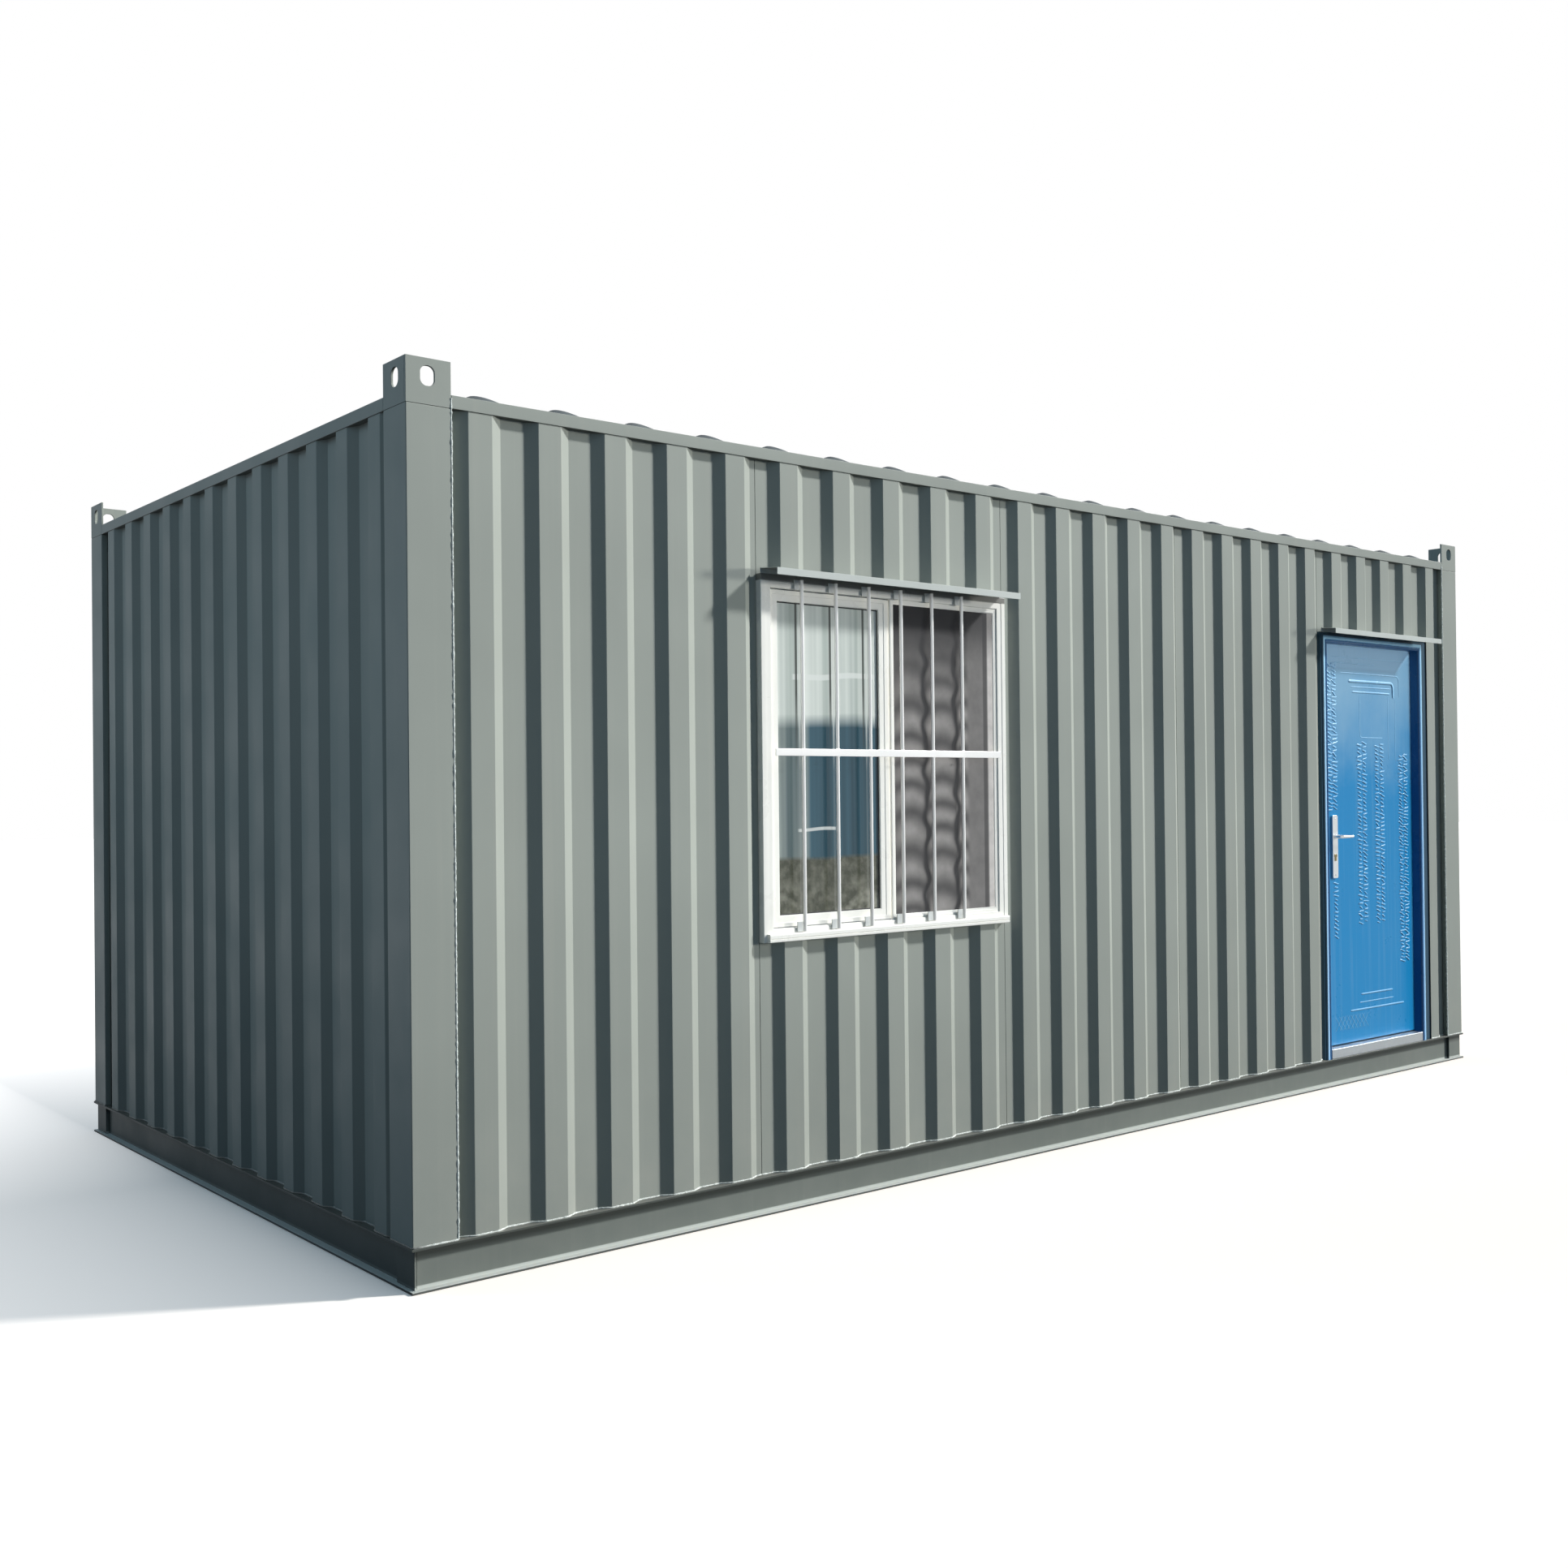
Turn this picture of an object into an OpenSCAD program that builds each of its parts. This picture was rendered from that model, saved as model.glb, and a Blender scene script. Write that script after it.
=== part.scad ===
// Container house: a one-room cabin of corrugated steel on a channel base frame, with a barred
// sliding window, a steel door that opens inwards and a lifting lug on each corner.
// X runs along the front, Y from the front to the back, Z up. Millimetres.

/* [Overall] */
// Length over the base frame
body_l = 6000; // [5600:50:7400]
// Width over the base frame, front to back
body_w = 3000; // [2300:50:3800]
// Height of the walls, from the base frame to the underside of the top rails
wall_h = 2421; // [2350:1:3000]

/* [Base frame] */
// Height of the base rails
base_h = 130; // [110:1:180]
// How far the web of a base rail stands back from the tips of its flanges
web_recess = 26; // [20:1:40]
// Thickness of a base rail's flanges
flange_t = 8; // [5:1:12]
// Thickness of a base rail's web
web_t = 6; // [4:1:10]
// How far the posts and walls stand back from the flange tips
ledge = 5; // [0:1:8]
// Length of the blocks that close the rails at the corners
foot_l = 125; // [80:1:140]
// How far the corner blocks stand back from the flange tips
foot_recess = 13; // [6:1:20]

/* [Floor] */
// Width of a floor cross member
bearer_w = 60; // [40:5:80]
// Height of a floor cross member
bearer_h = 100; // [60:5:110]
// Largest spacing of the floor cross members
bearer_gap = 500; // [350:10:700]
// Thickness of the floor board
floor_t = 18; // [12:1:25]

/* [Corner posts and top rails] */
// Width of a corner post on each face, from the corner of the base frame
post_w = 150; // [110:1:190]
// Plate thickness of the corner posts
post_t = 6; // [4:1:10]
// Depth of the lips folded in along the edges of a post
post_lip = 25; // [15:1:28]
// Height of the top rails
top_rail_h = 40; // [30:1:70]
// Depth of the top rails
top_rail_d = 60; // [45:1:80]
// Wall thickness of the top rails
top_rail_t = 4; // [3:1:6]

/* [Lifting lugs] */
// Height of a lug above its post
lug_h = 136; // [115:1:180]
// Plate thickness of a lug
lug_t = 8; // [6:1:12]
// Width of a lifting hole
lug_hole_w = 45; // [30:1:60]
// Height of a lifting hole
lug_hole_h = 58; // [44:1:70]
// Corner radius of a lifting hole
lug_hole_r = 20; // [5:1:22]
// Distance of a lifting hole's centre from the corner of the base frame
lug_hole_in = 75; // [60:1:95]
// Distance of a lifting hole's centre below the top of the lug
lug_hole_drop = 52; // [45:1:70]

/* [Corrugated walls] */
// Thickness of the corrugated sheets
sheet_t = 2; // [1.5:0.5:3]
// Depth of the corrugations
rib_depth = 22; // [15:1:24]
// Width of the outer flat of a rib
rib_face = 79; // [60:1:90]
// Width that each slope of a rib takes up
rib_slope = 39; // [25:1:45]
// Pitch of the ribs on the ends and the back
rib_pitch = 228.5; // [190:0.5:280]
// Distance from a corner post to the first rib's flat, on the ends and the back
first_rib = 29; // [5:1:80]
// Number of ribs on each of the five sheets of the front, or as many as fit
front_ribs = 5; // [4:1:8]
// Pitch of the ribs on the sheets of the front, from left to right
front_pitch = [238, 241, 226, 219, 218];
// Distance of each front sheet's first rib from the sheet's left edge
front_first = [57, 93, 78, 97, 100];
// Width of the first sheet of the front
left_bay_w = 1150; // [900:10:1200]
// Width of the sheet that holds the window
window_bay_w = 1215; // [1215:5:1300]
// Width of the sheet that holds the door
door_bay_w = 1135; // [1135:5:1250]

/* [Roof] */
// Pitch of the mounds pressed into the roof sheet
mound_pitch = 285; // [240:5:340]
// Width of a mound at its foot
mound_w = 150; // [110:5:180]
// Height of a mound
mound_h = 34; // [20:1:45]
// Length of the slope that closes a mound at each end
mound_end = 50; // [30:5:90]
// Distance from the rail's face to the start of a mound
mound_in = 45; // [30:1:90]
// How far the edge of the roof sheet stands back from the base frame's outline
roof_inset = 16; // [15:1:30]

/* [Lining] */
// Thickness of the insulated wall and ceiling lining
lining_t = 50; // [30:5:75]
// Gap between the corrugated sheet and the lining
lining_gap = 4; // [2:1:20]
// Joint between lining panels
panel_joint = 2; // [1:1:6]
// Room height, from the floor to the ceiling
room_h = 2300; // [2250:10:2600]

/* [Window] */
// Width over the window frame
window_w = 1208; // [1000:2:1212]
// Height over the window frame
window_h = 1250; // [900:10:1350]
// Height of the window frame's foot above the ground
window_z = 915; // [800:5:1000]
// Gap between the sheet joint and the window frame
window_gap = 1; // [0:1:3]
// Face width of the window frame
window_face = 45; // [35:1:60]
// Face width of the sashes
sash_face = 42; // [30:1:55]
// Face width of the meeting stile of the front sash
meeting_face = 76; // [50:1:90]
// Thickness of the sashes
sash_t = 26; // [20:1:30]
// Width by which the two sashes overlap
sash_lap = 60; // [40:1:90]
// Thickness of the panes
pane_t = 5; // [4:1:8]
// Face width of the fly screen's frame
screen_face = 18; // [12:1:25]
// Thickness of the fly screen's frame
screen_t = 9; // [7:1:12]
// Thickness of the space that the fly screen's mesh takes up
mesh_t = 5; // [3:1:6]
// Height of the sill trim
sill_h = 28; // [15:1:40]
// Projection of the sill trim in front of the window frame
sill_out = 16; // [8:1:30]

/* [Window bars] */
// Number of upright bars
bar_count = 6; // [4:1:8]
// Pitch of the upright bars
bar_pitch = 157; // [110:1:160]
// Diameter of the upright bars
bar_d = 14; // [10:1:20]
// Distance from the window frame's left edge to the first bar
bar_first = 175; // [100:1:250]
// Height of the crossbar's centre above the ground
cross_z = 1560; // [1300:5:1800]
// Height of the crossbar
cross_h = 25; // [20:1:40]
// Thickness of the crossbar
cross_t = 5; // [4:1:8]

/* [Hoods] */
// Projection of the window hood in front of the base frame
window_hood_out = 85; // [70:1:150]
// Projection of the door hood in front of the base frame
door_hood_out = 70; // [50:1:150]
// Height of the lip along the front of a hood
hood_lip = 24; // [15:1:40]
// Thickness of the folded hoods
hood_t = 2; // [1.5:0.5:3]
// Height of a hood's back edge above the frame that it shelters
hood_rise = 18; // [12:1:60]
// Fall of a hood from the wall to its lip
hood_fall = 8; // [4:1:20]

/* [Door] */
// Clear width between the stops of the door frame
door_clear_w = 836; // [690:2:840]
// Height of the clear opening above the threshold
door_clear_h = 1941; // [1880:1:1960]
// Face width of the door frame's nose
nose_w = 44; // [35:1:50]
// Width of the flange beside the nose on the lock side
flange_lock = 5; // [4:1:20]
// Width of the flange beside the nose on the hinge side
flange_hinge = 44; // [10:1:50]
// Width of the flange over the nose at the head
flange_head = 6; // [4:1:20]
// How far the frame's flange stands back from its nose
flange_back = 8; // [4:1:15]
// Height of the threshold
threshold_h = 45; // [30:1:55]
// Depth from the front of the nose to the leaf
leaf_recess = 50; // [40:1:60]
// Thickness of the leaf
leaf_t = 40; // [35:1:50]
// How far the leaf reaches behind the stops
leaf_lap = 10; // [8:1:15]
// Running gap round the leaf
leaf_gap = 5; // [5:0.5:8]

/* [Door furniture] */
// Distance from the lock side's stop to the spindle
spindle_in = 117; // [60:1:150]
// Height of the spindle above the ground
spindle_z = 1186; // [1000:1:1250]
// Width of the handle plates
plate_w = 45; // [35:1:55]
// Height of the handle plates
plate_h = 303; // [240:1:320]
// Thickness of the handle plates
plate_t = 8; // [5:1:12]
// Height of the plate above the spindle
plate_over = 103; // [60:1:130]
// Distance of the key cylinder below the spindle
key_drop = 92; // [76:1:110]
// Length of a lever from the spindle to its tip
lever_l = 95; // [80:1:125]
// Diameter of a lever's neck
neck_d = 18; // [14:1:22]
// Diameter of a lever's grip
grip_d = 16; // [12:1:22]
// Distance from the plate to the middle of a lever's grip
lever_out = 40; // [32:1:60]
// Number of hinges
hinge_count = 3; // [2:1:4]
// Height of a hinge's barrel
barrel_h = 110; // [80:2:140]
// Diameter of a hinge's barrel
barrel_d = 16; // [14:1:20]
// Diameter of a hinge pin
pin_d = 8; // [6:1:9]
// Running clearance round a pin or a neck
pin_gap = 0.3; // [0.2:0.1:0.5]

/* [Hidden] */
$fn = 48;
over = 1;         // how far a cutting shape runs past what it cuts
seam_gap = 1;     // air between the leaf and frame halves of a hinge barrel
face_gap = 0.3;   // air behind the window bars

foot_plate_t = 6;   // edge plate that closes the front rail at the left corner
sheet_back = 3;     // how far the outer flats of the ribs stand behind the posts' faces
sill_ends = [14, 8];  // how far the sill trim stops short of the window frame, left and right
window_hood_short = 8;  // how far the window hood stops short of the frame's right edge
door_hood_past = 12;    // how far the door hood runs past the frame on the hinge side
bar_foot_gap = 2;   // from the sill trim up to the bars
bar_head_gap = 12;  // from the bars up to the top of the window frame
bar_tab = [28, 4, 16];  // tab at each end of a bar: width, thickness, height
cross_gap = 3;      // from the crossbar's ends to the window frame's faces
cross_proud = 1;    // how far the crossbar stands in front of the bars
screen_back = 6;    // from the window frame's face to the fly screen
sash_gap = 2;       // between the fly screen and the front sash
track_gap = 4;      // between the two sashes
cylinder_r = 8.5;   // key cylinder's round part
cylinder_w = 10;    // key cylinder's stem below it
cylinder_h = 24.5;  // from the round part's centre to the stem's foot
cylinder_stub = 4;  // how far the key cylinder stands out of its plates
cylinder_gap = 0.2; // room round the key cylinder
barrel_back = 1.5;  // from the leaf's inner face to the hinge barrels

// The origin is under the middle of the whole cabin, window hood included.
front_y = (window_hood_out - body_w) / 2;
back_y = front_y + body_w;

// Levels
post_top = base_h + wall_h;
rail_top = post_top + top_rail_h;
lug_top = post_top + lug_h;
floor_z = base_h;
ceiling_z = floor_z + room_h;

// Depths behind the flange tips of the base rails
rail_d = web_recess + web_t;
rib_out = ledge + sheet_back;
rib_in = rib_out + rib_depth;
lining_out = rib_in + sheet_t + lining_gap;
lining_in = lining_out + lining_t;
top_rail_in = ledge + top_rail_d;

// The five sheets along the front, from the left corner post
middle_w = (body_l - 2 * post_w - left_bay_w - window_bay_w - door_bay_w) / 2;
bay_w = [left_bay_w, window_bay_w, middle_w, middle_w, door_bay_w];
function bay_x(i) = i == 0 ? post_w : bay_x(i - 1) + bay_w[i - 1];
LEFT_BAY = 0;
WINDOW_BAY = 1;
MIDDLE_BAY = 2;
RIGHT_BAY = 3;
DOOR_BAY = 4;

// Window
window_x = bay_x(WINDOW_BAY) + window_gap;
window_end = window_x + window_w;
window_top = window_z + window_h;
window_d = ledge;
glass_x = window_x + window_face;
glass_w = window_w - 2 * window_face;
glass_z = window_z + window_face;
glass_h = window_h - 2 * window_face;
sash_w = (glass_w + sash_lap) / 2;
screen_d = window_d + screen_back;
front_sash_d = screen_d + screen_t + sash_gap;
rear_sash_d = front_sash_d + sash_t + track_gap;
bar_d_mid = window_d - face_gap - bar_d / 2;

// Door
door_x = bay_x(DOOR_BAY);
nose_x = door_x + flange_lock;
stop_x = nose_x + nose_w;
stop_end = stop_x + door_clear_w;
nose_end = stop_end + nose_w;
door_end = nose_end + flange_hinge;
head_z = floor_z + threshold_h + door_clear_h;
door_top = head_z + nose_w + flange_head;
door_d = ledge;
leaf_x = stop_x - leaf_lap;
leaf_end = stop_end + leaf_lap;
leaf_z = floor_z + threshold_h + leaf_gap;
leaf_top = head_z + leaf_lap;
leaf_front = door_d + leaf_recess;
leaf_back = leaf_front + leaf_t;
spindle_x = stop_x + spindle_in;
plate_z = spindle_z + plate_over - plate_h;
key_z = spindle_z - key_drop;

// Door hinges: the pin stands in the gap beside the leaf, behind its inner face
pin_x = leaf_end + leaf_gap / 2;
pin_depth = leaf_back + barrel_back + barrel_d / 2;
hinge_plate_t = 3;
hinge_plate_w = 42;
hinge_inset = 170;

// Colours
GREY = [0.56, 0.60, 0.57];
DARK_GREY = [0.40, 0.44, 0.43];
WHITE = [0.93, 0.94, 0.94];
BLUE = [0.12, 0.42, 0.70];
SILVER = [0.75, 0.76, 0.77];
PANEL = [0.88, 0.88, 0.86];
GLASS = [0.55, 0.70, 0.80, 0.5];

// Each wall is drawn with x along it from its left corner, seen from outside, y into the cabin.
module on_front() {
    translate([-body_l / 2, front_y, 0]) children();
}

module on_back() {
    translate([body_l / 2, back_y, 0]) rotate(180) children();
}

// On the ends, x runs from the front corner to the back one.
module on_right() {
    translate([body_l / 2, front_y, 0]) rotate(90) children();
}

module on_left() {
    mirror([1, 0, 0]) on_right() children();
}

module box(from, to) {
    translate(from) cube(to - from);
}

// ---- Base frame ----

// A channel that opens outwards, mitred at both ends, along a side of length len.
module base_rail(len) {
    intersection() {
        rotate([90, 0, 90]) linear_extrude(len) polygon([
            [0, 0], [rail_d, 0], [rail_d, base_h], [0, base_h],
            [0, base_h - flange_t], [web_recess, base_h - flange_t],
            [web_recess, flange_t], [0, flange_t]]);
        linear_extrude(base_h) polygon([[0, 0], [len, 0], [len - rail_d, rail_d], [rail_d, rail_d]]);
    }
}

module front_bottom_rail() {
    color(GREY) on_front() base_rail(body_l);
}

module back_bottom_rail() {
    color(GREY) on_back() base_rail(body_l);
}

module end_bottom_rails() {
    color(GREY) {
        on_left() base_rail(body_w);
        on_right() base_rail(body_w);
    }
}

// A block in the corner pocket between the flanges, with a leg along each side. The corner is at
// the origin, and front_leg is how far the leg along x reaches past the web's outer face.
module corner_foot(front_leg) {
    r = web_recess;
    f = foot_recess;
    translate([0, 0, flange_t]) linear_extrude(base_h - 2 * flange_t) polygon([
        [f, f], [front_leg, f], [front_leg, r], [r, r], [r, foot_l], [f, foot_l]]);
}

module corner_feet() {
    color(GREY) {
        on_front() corner_foot(foot_recess + foot_plate_t);
        on_front() translate([body_l, 0, 0]) mirror([1, 0, 0]) corner_foot(foot_l);
        on_back() corner_foot(foot_l);
        on_back() translate([body_l, 0, 0]) mirror([1, 0, 0]) corner_foot(foot_l);
    }
}

module floor_cross_members() {
    run = body_l - 2 * rail_d - bearer_w;
    count = ceil(run / bearer_gap) + 1;
    top = floor_z - floor_t;
    color(DARK_GREY) for (i = [0 : count - 1]) {
        x = rail_d + i * run / (count - 1);
        on_front() box([x, rail_d, top - bearer_h], [x + bearer_w, body_w - rail_d, top]);
    }
}

module floor_board() {
    color(PANEL) on_front() box([rail_d, rail_d, floor_z - floor_t],
        [body_l - rail_d, body_w - rail_d, floor_z]);
}

// ---- Corner posts, lugs and top rails ----

// Corner at the origin, legs along x and y.
module corner_post() {
    s = ledge;
    w = post_w;
    t = post_t;
    lip = s + post_lip;
    translate([0, 0, base_h]) linear_extrude(wall_h) polygon([
        [s, s], [w, s], [w, lip], [w - t, lip], [w - t, s + t], [s + t, s + t],
        [s + t, w - t], [lip, w - t], [lip, w], [s, w]]);
}

// A rectangle with round corners, centred on the origin.
module round_slot(w, h, r) {
    square([w - 2 * r, h], center = true);
    square([w, h - 2 * r], center = true);
    for (x = [-1, 1]) {
        for (z = [-1, 1]) {
            translate([x * (w / 2 - r), z * (h / 2 - r)]) circle(r);
        }
    }
}

// A lifting hole's cutter, through a plate that lies along x.
module lifting_hole() {
    translate([lug_hole_in, ledge + lug_t + over, lug_top - lug_hole_drop]) rotate([90, 0, 0])
        linear_extrude(lug_t + 2 * over) round_slot(lug_hole_w, lug_hole_h, lug_hole_r);
}

// A lug is two plates that meet at the corner. This one lies along x, from start to the post's edge.
module lifting_plate(start) {
    difference() {
        box([start, ledge, post_top], [post_w, ledge + lug_t, lug_top]);
        lifting_hole();
    }
}

// The plate along y, behind the one along x.
module lifting_side_plate() {
    mirror([1, -1, 0]) lifting_plate(ledge + lug_t);
}

// The four corners in turn, each with its legs along the two walls that meet there.
module at_front_left() {
    on_front() children();
}

module at_front_right() {
    mirror([1, 0, 0]) at_front_left() children();
}

module at_back_right() {
    on_back() children();
}

module at_back_left() {
    mirror([1, 0, 0]) at_back_right() children();
}

module corner_posts_front() {
    color(GREY) {
        at_front_left() corner_post();
        at_front_right() corner_post();
    }
}

module corner_posts_back() {
    color(GREY) {
        at_back_left() corner_post();
        at_back_right() corner_post();
    }
}

module lifting_plates_front_back() {
    color(GREY) {
        at_front_left() lifting_plate(ledge);
        at_front_right() lifting_plate(ledge);
        at_back_left() lifting_plate(ledge);
        at_back_right() lifting_plate(ledge);
    }
}

module lifting_plates_ends() {
    color(GREY) {
        at_front_left() lifting_side_plate();
        at_front_right() lifting_side_plate();
        at_back_left() lifting_side_plate();
        at_back_right() lifting_side_plate();
    }
}

// A rectangular tube between two posts, along a side of length len.
module top_rail(len) {
    t = top_rail_t;
    difference() {
        box([post_w, ledge, post_top], [len - post_w, top_rail_in, rail_top]);
        box([post_w - over, ledge + t, post_top + t],
            [len - post_w + over, top_rail_in - t, rail_top - t]);
    }
}

module front_top_rail() {
    color(GREY) on_front() top_rail(body_l);
}

module back_top_rail() {
    color(GREY) on_back() top_rail(body_l);
}

module end_top_rails() {
    color(GREY) {
        on_left() top_rail(body_w);
        on_right() top_rail(body_w);
    }
}

// ---- Roof and ceiling ----

// The mounds as solid bodies: round-topped bars across the roof, sloped off at both ends.
module mounds(sink) {
    clear = body_l - 2 * post_w;
    count = floor(clear / mound_pitch);
    r = (mound_w * mound_w / 4 + mound_h * mound_h) / (2 * mound_h);
    z = rail_top + sheet_t - sink;
    y0 = ledge + mound_in;
    y1 = body_w - y0;
    intersection() {
        for (i = [0 : count - 1]) {
            translate([body_l / 2 + (i - (count - 1) / 2) * mound_pitch, y0, z + mound_h - r])
                rotate([-90, 0, 0]) cylinder(r = r, h = y1 - y0);
        }
        rotate([90, 0, 90]) linear_extrude(body_l) polygon([
            [y0 + sink, rail_top - sheet_t], [y1 - sink, rail_top - sheet_t],
            [y1 - sink, z + sink],
            [y1 - mound_end - sink, z + mound_h], [y0 + mound_end + sink, z + mound_h],
            [y0 + sink, z + sink]]);
        box([0, 0, rail_top - over * (sink > 0 ? 1 : 0)], [body_l, body_w, z + mound_h]);
    }
}

module roof_sheet() {
    i = roof_inset;
    color(GREY) on_front() difference() {
        union() {
            box([i, i, rail_top], [body_l - i, body_w - i, rail_top + sheet_t]);
            mounds(0);
        }
        mounds(sheet_t);
    }
}

module ceiling() {
    i = lining_out;
    color(PANEL) on_front() box([i, i, ceiling_z], [body_l - i, body_w - i, ceiling_z + lining_t]);
}

// ---- Corrugated walls ----

// A sheet from x0 to x1 and z0 to z1, with ribs whose outer flats start at the places in ribs.
module corrugated(x0, x1, z0, z1, ribs) {
    last = ribs[len(ribs) - 1] + rib_face + rib_slope;
    outer = concat(
        [[min(x0, ribs[0] - rib_slope) - over, rib_in]],
        [for (a = ribs) each [[a - rib_slope, rib_in], [a, rib_out],
            [a + rib_face, rib_out], [a + rib_face + rib_slope, rib_in]]],
        [[max(x1, last) + over, rib_in]]);
    inner = [for (i = [len(outer) - 1 : -1 : 0]) [outer[i].x, outer[i].y + sheet_t]];
    intersection() {
        translate([0, 0, z0]) linear_extrude(z1 - z0) polygon(concat(outer, inner));
        box([x0, 0, z0], [x1, rib_in + sheet_t, z1]);
    }
}

// Rib places of one sheet of the front. Each sheet ends in inner flats, where it meets the next.
function bay_ribs(i) = [for (k = [0 : front_ribs - 1])
    let (a = front_first[i] + k * front_pitch[i])
    if (a + rib_face + rib_slope <= bay_w[i]) bay_x(i) + a];

// Rib places along an end or the back, between the posts.
function wall_ribs(len) =
    [for (a = [post_w + first_rib : rib_pitch : len - post_w - rib_face - rib_slope]) a];

module front_part(i, x0, x1, z0, z1) {
    color(GREY) on_front() corrugated(x0, x1, z0, z1, bay_ribs(i));
}

module full_wall(len) {
    corrugated(post_w, len - post_w, base_h, post_top, wall_ribs(len));
}

module front_sheet_left() {
    front_part(LEFT_BAY, bay_x(LEFT_BAY), bay_x(WINDOW_BAY), base_h, post_top);
}

module front_sheet_over_window() {
    front_part(WINDOW_BAY, bay_x(WINDOW_BAY), bay_x(MIDDLE_BAY), window_top, post_top);
}

module front_sheet_under_window() {
    front_part(WINDOW_BAY, bay_x(WINDOW_BAY), bay_x(MIDDLE_BAY), base_h, window_z);
}

module front_sheet_middle() {
    front_part(MIDDLE_BAY, bay_x(MIDDLE_BAY), bay_x(RIGHT_BAY), base_h, post_top);
}

module front_sheet_right() {
    front_part(RIGHT_BAY, bay_x(RIGHT_BAY), bay_x(DOOR_BAY), base_h, post_top);
}

module front_sheet_over_door() {
    front_part(DOOR_BAY, bay_x(DOOR_BAY), door_end, door_top, post_top);
}

module front_sheet_beside_door() {
    front_part(DOOR_BAY, door_end, body_l - post_w, base_h, post_top);
}

module left_wall_sheet() {
    color(GREY) on_left() full_wall(body_w);
}

module right_wall_sheet() {
    color(GREY) on_right() full_wall(body_w);
}

module back_wall_sheet() {
    color(GREY) on_back() full_wall(body_l);
}

// ---- Lining ----

module lining_panel(x0, x1, z0, z1) {
    box([x0, lining_out, z0], [x1, lining_in, z1]);
}

// Panels round the window and the door, a joint apart, so that each stays a plain slab.
module front_lining() {
    j = panel_joint;
    end = body_l - lining_out;
    color(PANEL) on_front() {
        lining_panel(lining_out, window_x - j, floor_z, ceiling_z);
        lining_panel(window_x, window_end, floor_z, window_z);
        lining_panel(window_x, window_end, window_top, ceiling_z);
        lining_panel(window_end + j, door_x - j, floor_z, ceiling_z);
        lining_panel(door_x, door_end, door_top, ceiling_z);
        lining_panel(door_end + j, end, floor_z, ceiling_z);
    }
}

module back_lining() {
    color(PANEL) on_back() lining_panel(lining_out, body_l - lining_out, floor_z, ceiling_z);
}

module end_linings() {
    y0 = lining_in + panel_joint;
    color(PANEL) {
        on_left() lining_panel(y0, body_w - y0, floor_z, ceiling_z);
        on_right() lining_panel(y0, body_w - y0, floor_z, ceiling_z);
    }
}

// ---- Window ----

// An upright rectangular ring: outer corner, outer size, face width, depth along y.
module ring(x, z, w, h, face, y, depth) {
    difference() {
        box([x, y, z], [x + w, y + depth, z + h]);
        box([x + face, y - over, z + face], [x + w - face, y + depth + over, z + h - face]);
    }
}

module window_frame() {
    color(WHITE) on_front() ring(window_x, window_z, window_w, window_h,
        window_face, window_d, lining_in - window_d);
}

// The front sash is the left one, with the broad meeting stile; the rear one is behind it.
module window_sashes() {
    rear_x = glass_x + glass_w - sash_w;
    stile_x = glass_x + sash_w - meeting_face;
    color(WHITE) on_front() {
        difference() {
            box([glass_x, front_sash_d, glass_z],
                [glass_x + sash_w, front_sash_d + sash_t, glass_z + glass_h]);
            box([glass_x + sash_face, front_sash_d - over, glass_z + sash_face],
                [stile_x, front_sash_d + sash_t + over, glass_z + glass_h - sash_face]);
        }
        ring(rear_x, glass_z, sash_w, glass_h, sash_face, rear_sash_d, sash_t);
    }
}

module window_panes() {
    back = (sash_t - pane_t) / 2;
    z0 = glass_z + sash_face;
    z1 = glass_z + glass_h - sash_face;
    color(GLASS) on_front() {
        box([glass_x + sash_face, front_sash_d + back, z0],
            [glass_x + sash_w - meeting_face, front_sash_d + back + pane_t, z1]);
        box([glass_x + glass_w - sash_w + sash_face, rear_sash_d + back, z0],
            [glass_x + glass_w - sash_face, rear_sash_d + back + pane_t, z1]);
    }
}

// The fly screen slides in front of the sashes and covers the right half.
screen_w = glass_w - sash_w + sash_lap / 2;
screen_x = glass_x + glass_w - screen_w;

module fly_screen_frame() {
    color(WHITE) on_front() ring(screen_x, glass_z, screen_w, glass_h,
        screen_face, screen_d, screen_t);
}

module fly_screen_mesh() {
    y = screen_d + (screen_t - mesh_t) / 2;
    color(DARK_GREY) on_front() box(
        [screen_x + screen_face, y, glass_z + screen_face],
        [screen_x + screen_w - screen_face, y + mesh_t, glass_z + glass_h - screen_face]);
}

module window_sill() {
    color(WHITE) on_front() box([window_x + sill_ends[0], window_d - sill_out, window_z],
        [window_end - sill_ends[1], window_d, window_z + sill_h]);
}

// Round uprights welded to a flat crossbar, with a tab at each end that screws to the frame.
module window_bars() {
    foot_z = window_z + sill_h + bar_foot_gap;
    head = window_top - bar_head_gap;
    cross_d = bar_d_mid - bar_d / 2 - cross_proud;
    color(WHITE) on_front() {
        for (i = [0 : bar_count - 1]) {
            x = window_x + bar_first + i * bar_pitch;
            translate([x, bar_d_mid, foot_z]) cylinder(d = bar_d, h = head - foot_z);
            for (z = [foot_z, head - bar_tab.z]) {
                translate([x - bar_tab.x, window_d - bar_tab.y, z]) cube(bar_tab);
            }
        }
        box([glass_x + cross_gap, cross_d, cross_z - cross_h / 2],
            [glass_x + glass_w - cross_gap, cross_d + cross_t, cross_z + cross_h / 2]);
    }
}

// ---- Hoods ----

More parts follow.
